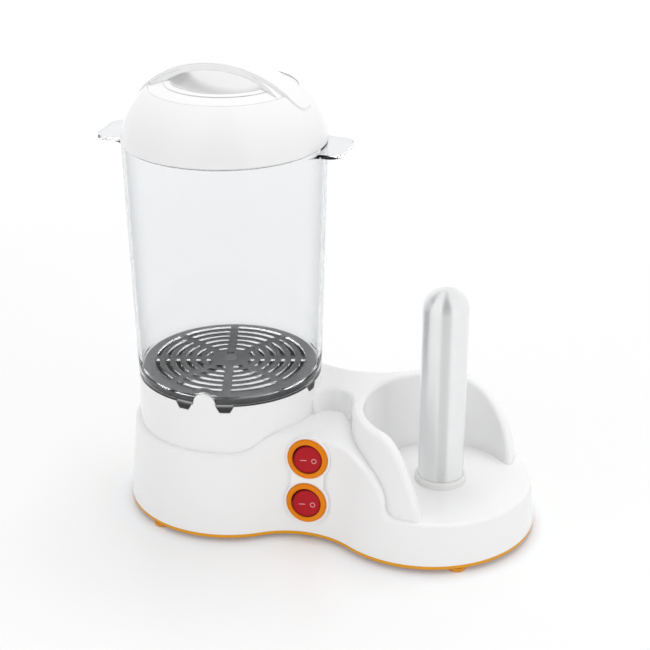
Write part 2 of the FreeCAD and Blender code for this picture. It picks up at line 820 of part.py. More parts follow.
def pan_head_screw(x, y, seat, length):
    """Screw driven upward, its head below the seat."""
    head = cone(x, y, seat - size("screw_head_height"), seat, size("screw_head_radius"),
                size("screw_head_radius"))
    shank = cone(x, y, seat, seat + length, size("screw_shank_radius"), size("screw_shank_radius"))
    slot = Part.makeBox(2 * size("screw_head_radius"), size("screw_slot_width"), size("screw_slot_depth"),
                        Vec(x - size("screw_head_radius"), y - size("screw_slot_width") / 2,
                            seat - size("screw_head_height")))
    return head.fuse(shank).cut(slot)


def jar():
    """Clear jar with a pierced floor, a keyed skirt, two lifting tabs and a neck inside the lid."""
    seat = size("tower_height")
    wall = size("jar_wall")
    low = size("jar_low_radius")
    lean = (size("jar_top_radius") - low) / size("jar_height")
    floor_low = seat + size("jar_floor_rise")
    floor_high = floor_low + size("jar_floor_thick")
    neck = size("jar_top_radius") - size("jar_neck_inset")
    neck_top = jar_top + size("jar_neck_rise")
    shoulder_low = jar_top - size("jar_shoulder_thick")
    outer = cone(jar_x, 0, seat, jar_top, low, size("jar_top_radius"))
    outer = outer.fuse([cone(jar_x, 0, jar_top, neck_top, neck, neck)] + jar_foot(0, low - wall, low))
    notch_top = seat + size("key_height") + size("notch_gap")
    notch_half = size("key_half_width") + size("notch_gap")
    boss = arch(notch_half + size("notch_wall"), notch_top + size("notch_wall"), floor_low,
                low - wall - size("notch_wall"), low)
    inside = cone(jar_x, 0, floor_high, shoulder_low, low - wall + lean * (floor_high - seat),
                  low - wall + lean * (shoulder_low - seat))
    mouth = cone(jar_x, 0, shoulder_low - 1, neck_top + 1, neck - wall, neck - wall)
    under = cone(jar_x, 0, seat, floor_low, low - wall, low - wall + lean * (floor_low - seat))
    body = outer.cut([inside, mouth, under]).fuse(boss)
    body = body.cut(arch(notch_half, notch_top, seat - 1, low - wall - size("slide_gap"), low + 2))

    rings = []
    radius = size("slot_first_radius")
    while radius + size("slot_width") <= size("slot_last_radius"):
        outside = cone(jar_x, 0, floor_low - 1, floor_high + 1, radius + size("slot_width"),
                       radius + size("slot_width"))
        rings.append(outside.cut(cone(jar_x, 0, floor_low - 1, floor_high + 1, radius, radius)))
        radius += size("slot_pitch")
    ribs = []
    for index in range(RIB_BARS):
        reach = size("slot_last_radius") + size("slot_width")
        bar = Part.makeBox(2 * reach, size("rib_width"), 4 * size("jar_floor_thick"),
                           Vec(-reach, -size("rib_width") / 2, floor_low - size("jar_floor_thick")))
        bar.rotate(Vec(0, 0, 0), UP, size("rib_angle") + index * 180.0 / RIB_BARS)
        bar.translate(Vec(jar_x, 0, 0))
        ribs.append(bar)
    slots = Part.makeCompound(rings).cut(ribs)
    body = body.cut(slots)
    body = body.fuse(cone(jar_x, 0, floor_high - size("jar_floor_thick") / 2,
                          floor_high + size("floor_cone_height"),
                          size("floor_cone_radius"), size("floor_cone_tip_radius")))
    return body.fuse(jar_tabs()).removeSplitter()


def jar_tabs():
    """The two flat lifting tabs, each flared where it leaves the rim."""
    half = size("tab_half_width")
    flare = size("tab_flare")
    rim = size("jar_top_radius")
    low = jar_top - size("tab_thick")
    flare_x = math.sqrt((rim + flare) ** 2 - (half + flare) ** 2)
    tabs = []
    for side in (-1, 1):
        plate = Part.makeBox(size("tab_reach") - rim / 2, 2 * half, size("tab_thick"),
                             Vec(rim / 2, -half, low))
        corners = [edge for edge in plate.Edges
                   if abs(edge.CenterOfMass.x - size("tab_reach")) < 0.01
                   and abs(edge.CenterOfMass.z - jar_top + size("tab_thick") / 2) < 0.01]
        plate = plate.makeFillet(size("tab_corner"), corners)
        for across in (-1, 1):
            block = prism([(0, 0), (flare_x, across * (half + flare)), (flare_x, 0)][::across], low, jar_top)
            plate = plate.fuse(block.cut(cone(flare_x, across * (half + flare), low, jar_top, flare, flare)))
        plate = plate.cut(cone(0, 0, low - 1, jar_top + 1, rim - size("jar_wall") / 2,
                               rim - size("jar_wall") / 2))
        if side < 0:
            plate.rotate(Vec(0, 0, 0), UP, 180)
        plate.translate(Vec(jar_x, 0, 0))
        tabs.append(plate.removeSplitter())
    return tabs


shape_node("housing", housing())
shape_node("base_plate", base_plate())
shape_node("feet", feet())
screw_seat = size("foot_height") + size("screw_head_depth")
shape_node("base_screws", Part.makeCompound(
    [pan_head_screw(x, y, screw_seat, size("screw_length") - size("fit_gap")) for x, y in boss_places()]))

# Heating pan: a dish with a turned-down lip, and the stud that pulls it onto its seal
pan = turned_body("pan_body", [
    ("0", PAN_UNDER + " - stud_length"),
    ("stud_radius", PAN_UNDER + " - stud_length"),
    ("stud_radius", PAN_UNDER),
    ("pan_bore_radius + pan_sheet", PAN_UNDER),
    ("pan_bore_radius + pan_sheet", "tower_height + pan_rim_rise - pan_sheet"),
    ("pan_lip_radius - pan_sheet", "tower_height + pan_rim_rise - pan_sheet"),
    ("pan_lip_radius - pan_sheet", "tower_height + seal_thick"),
    ("pan_lip_radius", "tower_height + seal_thick"),
    ("pan_lip_radius", "tower_height + pan_rim_rise"),
    ("pan_bore_radius", "tower_height + pan_rim_rise"),
    ("pan_bore_radius", PAN_FLOOR),
    ("0", PAN_FLOOR),
])
bind(pan, {"Placement.Base.x": JAR_X})
node(pan, "heating_pan")

seal = turned_body("seal_body", [
    ("pan_lip_radius - seal_width", "tower_height"),
    ("pan_lip_radius", "tower_height"),
    ("pan_lip_radius", "tower_height + seal_thick"),
    ("pan_lip_radius - seal_width", "tower_height + seal_thick"),
])
bind(seal, {"Placement.Base.x": JAR_X})
node(seal, "pan_seal")

# Aluminium heater plate against the pan, with the sheathed element in a groove below
plate_disc = turned_body("heater_disc", [
    ("stud_radius + fit_gap", HEATER_UNDER),
    ("heater_plate_radius", HEATER_UNDER),
    ("heater_plate_radius", PAN_UNDER),
    ("stud_radius + fit_gap", PAN_UNDER),
])
bind(plate_disc, {"Placement.Base.x": JAR_X})
ring_links = {
    "Radius1": "heater_ring_radius",
    "Radius2": "heater_rod_radius",
    "Placement.Base.x": JAR_X,
    "Placement.Base.z": HEATER_UNDER,
}
groove = add("Part::Torus", "element_groove", ring_links)
node(cut("heater_plate_cut", plate_disc, groove), "heater_plate")
element = add("Part::Torus", "element_ring", {**ring_links, "Angle3": "heater_sweep_angle"})
element.Placement.Rotation = FreeCAD.Rotation(UP, size("heater_start_angle"))
pins = []
for index, angle in enumerate(("heater_start_angle + heater_pin_inset",
                               "heater_start_angle + heater_sweep_angle - heater_pin_inset")):
    pins.append(add("Part::Cylinder", f"element_pin_{index + 1}", {
        "Radius": "heater_pin_radius",
        "Height": "heater_pin_length",
        "Placement.Base.x": JAR_X + f" + heater_ring_radius * cos({angle})",
        "Placement.Base.y": f"heater_ring_radius * sin({angle})",
        "Placement.Base.z": HEATER_UNDER + " - heater_pin_length",
    }))
node(joined("element_joined", [element] + pins), "heating_element")

# Yoke under the pan that bears against the tower's top, and its nut
yoke = doc.addObject("PartDesign::Body", "yoke_body")
YOKE_TOP = "tower_height - tower_top_thick"
YOKE_LOW = "(tower_height - tower_top_thick - yoke_drop)"
yoke_sketch = outline_sketch(yoke, "XZ_Plane", [
    ("-yoke_span", YOKE_TOP),
    ("-yoke_span", YOKE_LOW),
    ("yoke_span", YOKE_LOW),
    ("yoke_span", YOKE_TOP),
    ("yoke_span - yoke_sheet", YOKE_TOP),
    ("yoke_span - yoke_sheet", YOKE_LOW + " + yoke_sheet"),
    ("yoke_sheet - yoke_span", YOKE_LOW + " + yoke_sheet"),
    ("yoke_sheet - yoke_span", YOKE_TOP),
], "yoke_outline")
yoke_pad = yoke.newObject("PartDesign::Pad", "yoke_strip")
yoke_pad.Profile = yoke_sketch
yoke_pad.Midplane = True
bind(yoke_pad, {"Length": "yoke_width"})
bind(yoke, {"Placement.Base.x": JAR_X})
yoke_hole = add("Part::Cylinder", "yoke_hole", {
    "Radius": "stud_radius + fit_gap",
    "Height": "4 * yoke_sheet",
    "Placement.Base.x": JAR_X,
    "Placement.Base.z": YOKE_LOW + " - yoke_sheet",
})
node(cut("yoke_cut", yoke, yoke_hole), "pan_yoke")
nut_block = add("Part::Prism", "nut_block", {
    "Circumradius": "nut_across_corners / 2",
    "Height": "nut_thick",
    "Placement.Base.x": JAR_X,
    "Placement.Base.z": YOKE_LOW + " - nut_thick",
})
nut_block.Polygon = 6
nut_bore = add("Part::Cylinder", "nut_bore", {
    "Radius": "stud_radius + slide_gap",
    "Height": "nut_thick",
    "Placement.Base.x": JAR_X,
    "Placement.Base.z": YOKE_LOW + " - nut_thick",
})
node(cut("nut_cut", nut_block, nut_bore), "pan_nut")

node(add("Part::Cylinder", "thermostat_can", {
    "Radius": "thermostat_radius",
    "Height": "thermostat_height",
    "Placement.Base.x": JAR_X,
    "Placement.Base.y": "thermostat_offset",
    "Placement.Base.z": HEATER_UNDER + " - thermostat_height",
}), "pan_thermostat")
fuse_can = add("Part::Cylinder", "fuse_can", {
    "Radius": "fuse_radius",
    "Height": "fuse_length",
    "Placement.Base.x": JAR_X + " - fuse_length / 2",
    "Placement.Base.y": "-thermostat_offset",
    "Placement.Base.z": HEATER_UNDER + " - fuse_radius",
})
fuse_can.Placement.Rotation = FreeCAD.Rotation(Vec(0, 1, 0), 90)
node(fuse_can, "thermal_fuse")

# Bun spike: a capped tube on a flange, clamped under the floor of the well
spike = turned_body("spike_body", [
    ("spike_radius - spike_sheet", FLOOR_UNDER + " - spike_flange_thick"),
    ("spike_flange_radius", FLOOR_UNDER + " - spike_flange_thick"),
    ("spike_flange_radius", FLOOR_UNDER),
    ("spike_radius", FLOOR_UNDER),
    ("spike_radius", "basin_floor_height + spike_height"),
    ("0", "basin_floor_height + spike_height"),
    ("0", "basin_floor_height + spike_height - spike_sheet"),
    ("spike_radius - spike_sheet", "basin_floor_height + spike_height - spike_sheet"),
])
spike_top = size("basin_floor_height") + size("spike_height")
round_edges(spike, "spike_tip", "spike_tip_round",
            lambda edge: is_circle(edge, size("spike_radius"), spike_top))
round_edges(spike, "spike_tip_inside", "spike_tip_round - spike_sheet",
            lambda edge: is_circle(edge, size("spike_radius") - size("spike_sheet"),
                                   spike_top - size("spike_sheet")))
bind(spike, {"Placement.Base.x": SPIKE_X, "Placement.Base.y": "spike_y"})
node(spike, "bun_spike")

collar = turned_body("collar_body", [
    ("spike_radius + slide_gap", FLOOR_UNDER),
    ("collar_spigot_radius", FLOOR_UNDER),
    ("collar_spigot_radius", "basin_floor_height"),
    ("collar_radius", "basin_floor_height"),
    ("collar_radius", "basin_floor_height + collar_height - collar_chamfer"),
    ("collar_radius - collar_chamfer", "basin_floor_height + collar_height"),
    ("spike_radius + slide_gap", "basin_floor_height + collar_height"),
])
bind(collar, {"Placement.Base.x": SPIKE_X, "Placement.Base.y": "spike_y"})
node(collar, "spike_collar")

clamp_low = floor_under - size("spike_flange_thick") - size("clamp_thick")


def spike_clamp():
    """Square plate that holds the spike's flange up against the floor."""
    side = size("clamp_side")
    sheet_metal = Part.makeBox(side, side, size("clamp_thick"),
                               Vec(spike_x - side / 2, spike_y - side / 2, clamp_low))
    holes = [cone(spike_x, spike_y, clamp_low, clamp_low + size("clamp_thick"),
                  size("clamp_bore_radius"), size("clamp_bore_radius"))]
    for x, y in clamp_screw_places():
        holes.append(cone(x, y, clamp_low, clamp_low + size("clamp_thick"),
                          size("screw_shank_radius") + size("fit_gap"),
                          size("screw_shank_radius") + size("fit_gap")))
    return sheet_metal.cut(holes)


def clamp_screw_places():
    """Plan points of the four screws that hold the spike's clamp."""
    offset = size("clamp_post_offset")
    return [(spike_x + across * offset, spike_y + along * offset) for across in (-1, 1) for along in (-1, 1)]


shape_node("spike_clamp", spike_clamp())
clamp_screw_length = size("clamp_thick") + size("spike_flange_thick") + size("wall") / 2 - size("fit_gap")
shape_node("clamp_screws", Part.makeCompound(
    [pan_head_screw(x, y, clamp_low, clamp_screw_length) for x, y in clamp_screw_places()]))

node(add("Part::Cylinder", "heater_rod", {
    "Radius": "spike_heater_radius",
    "Height": "spike_heater_length",
    "Placement.Base.x": SPIKE_X,
    "Placement.Base.y": "spike_y",
    "Placement.Base.z": "basin_floor_height + spike_heater_low",
}), "spike_heater")
insulators = []
for index in range(2):
    low_end = f"basin_floor_height + insulator_low + {index} * insulator_spacing"
    disc = turned_body(f"insulator_{index + 1}", [
        ("spike_heater_radius + slide_gap", low_end),
        ("spike_radius - spike_sheet - slide_gap", low_end),
        ("spike_radius - spike_sheet - slide_gap", low_end + " + insulator_thick"),
        ("spike_heater_radius + slide_gap", low_end + " + insulator_thick"),
    ])
    insulators.append(bind(disc, {"Placement.Base.x": SPIKE_X, "Placement.Base.y": "spike_y"}))
node(compound("insulator_pair", insulators), "spike_insulators")

# Two round rocker switches on the leaning panel
blades = []
for side, word in ((1, "upper"), (-1, "lower")):
    place = switch_place(side)
    case = turned_body(f"{word}_case", [
        ("0", "-barrel_length"),
        ("barrel_radius", "-barrel_length"),
        ("barrel_radius", "0"),
        ("flange_radius", "0"),
        ("flange_radius", "flange_thick - flange_edge"),
        ("flange_radius - flange_edge", "flange_thick"),
        ("rocker_well_radius", "flange_thick"),
        ("rocker_well_radius", "-rocker_well_depth"),
        ("0", "-rocker_well_depth"),
    ])
    bore = add("Part::Cylinder", f"{word}_pivot_bore", {
        "Radius": "pivot_radius + slide_gap",
        "Height": "2 * (pivot_half_length + slide_gap)",
        "Placement.Base.y": "pivot_half_length + slide_gap",
        "Placement.Base.z": "-pivot_depth",
    })
    bore.Placement.Rotation = FreeCAD.Rotation(Vec(1, 0, 0), 90)
    switch = cut(f"{word}_switch_cut", case, bore)
    switch.Placement = place
    node(switch, f"{word}_switch")

    disc = turned_body(f"{word}_disc", [
        ("0", "-rocker_bottom"),
        ("rocker_radius - rocker_bottom_edge", "-rocker_bottom"),
        ("rocker_radius", "-rocker_bottom + rocker_bottom_edge"),
        ("rocker_radius", "rocker_top - rocker_top_edge"),
        ("rocker_radius - rocker_top_edge", "rocker_top"),
        ("0", "rocker_top"),
    ])
    pivot = add("Part::Cylinder", f"{word}_pivot", {
        "Radius": "pivot_radius",
        "Height": "2 * pivot_half_length",
        "Placement.Base.y": "pivot_half_length",
        "Placement.Base.z": "-pivot_depth",
    })
    pivot.Placement.Rotation = FreeCAD.Rotation(Vec(1, 0, 0), 90)
    dish = add("Part::Cylinder", f"{word}_dish", {
        "Radius": "rocker_dish_radius",
        "Height": "4 * rocker_radius",
        "Placement.Base.y": "2 * rocker_radius",
        "Placement.Base.z": "rocker_top - rocker_dish_depth + rocker_dish_radius",
    })
    dish.Placement.Rotation = FreeCAD.Rotation(Vec(1, 0, 0), 90)
    rocker = cut(f"{word}_rocker_cut", joined(f"{word}_rocker_solid", [disc, pivot]), dish)
    pivot_point = Vec(0, 0, -size("pivot_depth"))
    tilt_turn = FreeCAD.Rotation(Vec(0, 1, 0), size("rocker_tilt_angle"))
    tilt = FreeCAD.Placement(Vec(0, 0, 0), tilt_turn, pivot_point)
    rocker.Placement = place.multiply(tilt)
    node(rocker, f"{word}_rocker")

    for across in (-1, 1):
        blade = add("Part::Box", f"{word}_blade_{across + 2}", {
            "Length": "blade_thick",
            "Width": "blade_width",
            "Height": "blade_length",
        })
        corner = Vec(across * size("blade_offset") - size("blade_thick") / 2, -size("blade_width") / 2,
                     -size("barrel_length") - size("blade_length"))
        blade.Placement = place.multiply(FreeCAD.Placement(corner, FreeCAD.Rotation()))
        blades.append(blade)
node(compound("blade_group", blades), "switch_terminals")

# Cable gland through the back of the waist, and the terminal block inside
gland = turned_body("gland_body", [
    ("gland_bore_radius", "-gland_barrel_length"),
    ("gland_barrel_radius", "-gland_barrel_length"),
    ("gland_barrel_radius", "0"),
    ("gland_flange_radius", "0"),
    ("gland_flange_radius", "gland_flange_thick"),
    ("gland_nose_radius + gland_nose_taper", "gland_flange_thick"),
    ("gland_nose_radius", "gland_flange_thick + gland_nose_length"),
    ("gland_bore_radius", "gland_flange_thick + gland_nose_length"),
])
gland_place = FreeCAD.Placement(Vec(waist_x, gland_seat, size("gland_height")),
                                FreeCAD.Rotation(Vec(1, 0, 0), -90))
gland.Placement = gland_place
node(gland, "cable_gland")
gland_nut = turned_body("gland_nut_body", [
    ("gland_barrel_radius + slide_gap", "-gland_pad_thick - gland_nut_thick"),
    ("gland_nut_radius", "-gland_pad_thick - gland_nut_thick"),
    ("gland_nut_radius", "-gland_pad_thick"),
    ("gland_barrel_radius + slide_gap", "-gland_pad_thick"),
])
gland_nut.Placement = gland_place
node(gland_nut, "gland_nut")
block_left = waist_x - size("block_length") / 2
block_front = gland_seat - size("block_back_gap") - size("block_width")
block_middle = block_front + size("block_width") / 2
block_top = plate_top + size("block_height")
block = add("Part::Box", "block_box", {
    "Length": "block_length",
    "Width": "block_width",
    "Height": "block_height",
})
block.Placement.Base = Vec(block_left, block_front, plate_top)
node(block, "terminal_block")


def rounded_path(points):
    """Wire through route points, each corner rounded as far as its shorter run allows."""
    edges = []
    start = points[0]
    for before, corner, after in zip(points, points[1:], points[2:]):
        back = before - corner
        ahead = after - corner
        reach = 0.45 * min(back.Length, ahead.Length)
        back.normalize()
        ahead.normalize()
        turn = math.pi - back.getAngle(ahead)
        radius = reach / math.tan(turn / 2)
        middle = corner + (back + ahead).normalize() * (math.hypot(reach, radius) - radius)
        edges.append(line(start, corner + back * reach))
        edges.append(Part.Arc(corner + back * reach, middle, corner + ahead * reach).toShape())
        start = corner + ahead * reach
    edges.append(line(start, points[-1]))
    return Part.Wire(edges)


def lead(label, points):
    """Insulated wire of the sheet's radius along route points."""
    path = rounded_path(points)
    start = points[0]
    ring = Part.Wire(Part.makeCircle(size("lead_radius"), start, points[1] - start))
    tube = path.makePipeShell([ring], True, False)
    expected = math.pi * size("lead_radius") ** 2 * path.Length
    print(f"{label}: length {path.Length:.0f} mm, volume over section times length "
          f"{tube.Volume / expected:.3f}")
    return shape_node(label, tube)


def blade_end(side, across):
    """Point at the free end of a switch's blade."""
    depth = size("barrel_length") + size("blade_length")
    return switch_place(side).multVec(Vec(across * size("blade_offset"), 0, -depth))


def pin_end(angle):
    """Point at the free end of a heating element's pin."""
    x, y = polar(jar_x, 0, size("heater_ring_radius"), angle)
    heater_under = (size("tower_height") + size("pan_rim_rise") - size("pan_depth") - size("pan_sheet")
                    - size("heater_plate_thick"))
    return Vec(x, y, heater_under - size("heater_pin_length"))


wire_low = plate_top + size("block_height") / 2
first_pin = pin_end(size("heater_start_angle") + size("heater_pin_inset"))
second_pin = pin_end(size("heater_start_angle") + size("heater_sweep_angle") - size("heater_pin_inset"))
lower_left = blade_end(-1, -1)
lower_right = blade_end(-1, 1)
upper_left = blade_end(1, -1)
upper_right = blade_end(1, 1)
yoke_low = size("tower_height") - size("tower_top_thick") - size("yoke_drop")
yoke_end = jar_x + size("yoke_span") - size("yoke_width") / 2
inward = switch_place(1).Rotation.multVec(Vec(0, 0, -1))

lead("live_lead_lower", [
    Vec(lower_left.x, block_front, wire_low),
    Vec(lower_left.x, block_front - 10, wire_low),
    lower_left + inward * 13,
    lower_left,
])
lead("live_lead_upper", [
    Vec(upper_left.x - 5, block_front, wire_low),
    Vec(upper_left.x - 5, block_front - 9, wire_low),
    Vec(upper_left.x - 2, upper_left.y + 14, upper_left.z - 10),
    upper_left + inward * 8,
    upper_left,
])
lead("pan_lead", [
    lower_right,
    lower_right + inward * 8,
    Vec(lower_right.x - 4, lower_right.y + 11, wire_low + 4),
    Vec(lower_right.x - 20, lower_right.y + 12, wire_low + 3),
    Vec(second_pin.x + 8, second_pin.y - 4, lower_right.z + 6),
    Vec(second_pin.x, second_pin.y, lower_right.z + 16),
    second_pin,
])
lead("return_lead", [
    first_pin,
    Vec(first_pin.x, first_pin.y, wire_low + 22),
    Vec(first_pin.x + 6, first_pin.y - 2, wire_low + 4),
    Vec(block_left - 12, block_middle, wire_low),
    Vec(block_left, block_middle, wire_low),
])
lead("spike_lead", [
    upper_right,
    upper_right + inward * 9,
    Vec(upper_right.x + 3, upper_right.y + 15, upper_right.z - 18),
    Vec(upper_right.x + 16, upper_right.y + 17, wire_low),
    Vec(spike_x - 18, spike_y, wire_low - 0.5),
    Vec(spike_x, spike_y, wire_low + 4),
    Vec(spike_x, spike_y, floor_top + size("spike_heater_low")),
])
lead("earth_lead", [
    Vec(waist_x, block_middle, block_top),
    Vec(waist_x, block_middle, block_top + 12),
    Vec(yoke_end + 2, block_middle / 2, block_top + 26),
    Vec(yoke_end, 1, yoke_low - 8),
    Vec(yoke_end, 1, yoke_low),
])

shape_node("jar", jar())

# Lid: a dome whose top is sunk to a terrace and a bowl, with a grip left across them
DOME_LOW = "(" + JAR_TOP + " - lid_centre_drop)"
DOME_RISE = "(lid_rise + lid_centre_drop)"
DOME_RADIUS = "(lid_radius / sqrt(1 - (lid_centre_drop / " + DOME_RISE + ") ^ 2))"
RECESS_EDGE = "(" + DOME_LOW + " + " + DOME_RISE + " * sqrt(1 - (recess_radius / " + DOME_RADIUS + ") ^ 2))"
BOWL_EDGE = "(" + RECESS_EDGE + " + terrace_rise)"
BOWL_RADIUS = "((bowl_rim_radius ^ 2 + bowl_depth ^ 2) / (2 * bowl_depth))"
LID_CREST = "(" + JAR_TOP + " + 2 * lid_rise)"


def dome(name, less_rise, less_radius):
    """Half ellipsoid about the lid's axis, drawn in from the lid's outside."""
    half = add("Part::Ellipsoid", name, {
        "Radius1": DOME_RISE + " - " + less_rise,
        "Radius2": DOME_RADIUS + " - " + less_radius,
        "Radius3": DOME_RADIUS + " - " + less_radius,
        "Placement.Base.x": JAR_X,
        "Placement.Base.z": DOME_LOW,
    })
    half.Angle1 = 0
    half.Angle2 = 90
    return half


def bowl(name, extra):
    """Ball whose lowest part is the lid's bowl, grown by an extra thickness."""
    return add("Part::Sphere", name, {
        "Radius": BOWL_RADIUS + " + " + extra,
        "Placement.Base.x": JAR_X,
        "Placement.Base.z": BOWL_EDGE + " - bowl_depth + " + BOWL_RADIUS,
    })


def lid_column(name, radius, low, high):
    """Upright cylinder on the lid's axis between two heights."""
    return add("Part::Cylinder", name, {
        "Radius": radius,
        "Height": high + " - " + low,
        "Placement.Base.x": JAR_X,
        "Placement.Base.z": low,
    })


dome_wall = cut("dome_wall", dome("dome_outside", "0", "0"), dome("dome_inside", "lid_wall", "lid_wall"))
round_recess = turned_body("round_recess", [
    ("recess_radius", JAR_TOP),
    ("2 * lid_radius", JAR_TOP),
    ("2 * lid_radius", LID_CREST),
    ("recess_radius", LID_CREST),
])
bind(round_recess, {"Placement.Base.x": JAR_X})
dome_skin = common("dome_skin", dome_wall, round_recess)
terrace = turned_body("lid_terrace", [
    ("bowl_rim_radius - lid_wall", BOWL_EDGE + " - lid_wall"),
    ("recess_radius + lid_wall / 4", RECESS_EDGE + " - recess_step - lid_wall"),
    ("recess_radius + lid_wall / 4", RECESS_EDGE + " - recess_step"),
    ("bowl_rim_radius - lid_wall", BOWL_EDGE),
])
bind(terrace, {"Placement.Base.x": JAR_X})
bowl_lens = common("bowl_lens", bowl("bowl_outside", "lid_wall"),
                   lid_column("bowl_limit", "bowl_rim_radius + 2 * lid_wall", JAR_TOP,
                              BOWL_EDGE + " - lid_wall / 2"))
recess_skin = cut("recess_skin", joined("terrace_and_lens", [terrace, bowl_lens]),
                  bowl("bowl_inside", "0"))

SIDE_RADIUS = ("((recess_radius ^ 2 + (grip_end_half_width - flare_half_width) ^ 2)"
               " / (2 * (grip_end_half_width - flare_half_width)))")
GRIP_LOW = "(" + JAR_TOP + " + grip_end_height)"

# The grip's top, seen from above, is a strip with rounded ends, and its roots flare inside the recess
strip = doc.addObject("PartDesign::Body", "grip_strip")
strip_sketch = outline_sketch(strip, "XY_Plane", [
    ("-grip_reach", "-grip_half_width"),
    ("grip_reach", "-grip_half_width"),
    ("grip_reach", "grip_half_width"),
    ("-grip_reach", "grip_half_width"),
], "strip_outline")
strip_pad = strip.newObject("PartDesign::Pad", "strip_block")
strip_pad.Profile = strip_sketch
bind(strip_pad, {"Length": "2 * lid_rise"})
round_edges(strip, "strip_corners", "grip_corner_radius",
            lambda edge: abs(edge.Vertexes[0].X - edge.Vertexes[-1].X) < 0.01
            and abs(edge.Vertexes[0].Y - edge.Vertexes[-1].Y) < 0.01)
bind(strip, {"Placement.Base.x": JAR_X, "Placement.Base.z": JAR_TOP})
sides = []
for index, sign in enumerate(("", "-")):
    sides.append(add("Part::Cylinder", f"grip_side_{index + 1}", {
        "Radius": SIDE_RADIUS,
        "Height": "4 * lid_rise",
        "Placement.Base.x": JAR_X,
        "Placement.Base.y": f"{sign}(flare_half_width + {SIDE_RADIUS})",
        "Placement.Base.z": JAR_TOP,
    }))
wide_plan = add("Part::Box", "wide_plan", {
    "Length": "2 * lid_radius",
    "Width": "2 * grip_end_half_width",
    "Height": "2 * lid_rise",
    "Placement.Base.x": JAR_X + " - lid_radius",
    "Placement.Base.y": "-grip_end_half_width",
    "Placement.Base.z": GRIP_LOW,
})
flared_plan = common("flared_inside_recess", cut("flared_plan", wide_plan, joined("grip_sides", sides)),
                     lid_column("flare_limit", "recess_radius + lid_wall / 4", JAR_TOP, LID_CREST))
grip_top = common("grip_top", dome("grip_outside", "(-grip_proud)", "(-grip_proud)"), strip)
grip_roots = common("grip_roots", dome("root_outside", "grip_proud", "grip_proud"), flared_plan)
grip = cut("lid_grip", joined("grip_solid", [grip_top, grip_roots]),
           dome("grip_inside", "(grip_thick - grip_proud)", "grip_root_thick"))
whole_lid = joined("lid_joined", [dome_skin, recess_skin, grip])
whole_lid.Placement = FreeCAD.Placement(Vec(0, 0, 0), FreeCAD.Rotation(UP, size("lid_turn_angle")),
                                        Vec(jar_x, 0, 0))
node(whole_lid, "lid")

doc.recompute()

for item in doc.Objects:
    if "Invalid" in item.State or "Error" in item.State:
        raise RuntimeError(f"{item.Label} failed: {item.State}")
for label, item in PIECES.items():
    if item.Shape.isNull() or not item.Shape.isValid() or not item.Shape.Solids:
        raise RuntimeError(f"{label} has no valid solid")

os.makedirs("parts", exist_ok=True)
for label, item in PIECES.items():
    item.Shape.exportStep(f"parts/{label}.step")
    box = item.Shape.BoundBox
    print(f"{label}: {len(item.Shape.Solids)} solids, {item.Shape.Volume / 1000:.2f} cm3, "
          f"z {box.ZMin:.1f} to {box.ZMax:.1f}")
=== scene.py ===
"""Looks of a countertop steamer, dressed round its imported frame.

Metres throughout, +Z up: the jar stands at -X, the spike at +X and the switches face -Y.
"""

import json
import logging
import math
from dataclasses import dataclass
from enum import Enum

import bmesh
import bpy
from mathutils import Matrix, Vector
from mathutils.bvhtree import BVHTree


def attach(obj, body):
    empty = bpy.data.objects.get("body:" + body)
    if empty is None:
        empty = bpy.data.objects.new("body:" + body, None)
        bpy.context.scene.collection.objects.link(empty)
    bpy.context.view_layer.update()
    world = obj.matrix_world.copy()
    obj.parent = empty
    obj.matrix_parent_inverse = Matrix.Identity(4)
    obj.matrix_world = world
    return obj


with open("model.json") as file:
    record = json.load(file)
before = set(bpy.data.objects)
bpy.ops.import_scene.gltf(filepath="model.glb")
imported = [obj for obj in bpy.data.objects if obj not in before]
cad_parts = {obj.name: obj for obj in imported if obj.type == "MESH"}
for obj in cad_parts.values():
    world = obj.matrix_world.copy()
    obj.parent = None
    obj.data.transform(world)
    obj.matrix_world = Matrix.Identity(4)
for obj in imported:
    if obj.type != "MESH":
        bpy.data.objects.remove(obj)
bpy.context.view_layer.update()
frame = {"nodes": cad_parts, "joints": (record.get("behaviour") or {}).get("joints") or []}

log = logging.getLogger("steamer")

Colour = tuple[float, float, float]
Vec3 = tuple[float, float, float]
Pair = tuple[float, float]

# The value that noise varies about
NOISE_MEAN = 0.5
# Rays that a Bevel node sends out to ease an edge
BEVEL_RAYS = 6
# How far the eased normal leaves the true one where an edge starts to show, and where it is full
EDGE_TURN = (0.01, 0.12)


class Body(Enum):
    """The bodies that added pieces ride on."""

    UPPER_ROCKER = "upper_rocker"
    LOWER_ROCKER = "lower_rocker"


class Lay(Enum):
    """The way that a metal's fine lines run."""

    ROUND = "rings about an upright axis"
    ALONG_X = "straight lines along X"
    CAST = "no lines, only a cast grain"


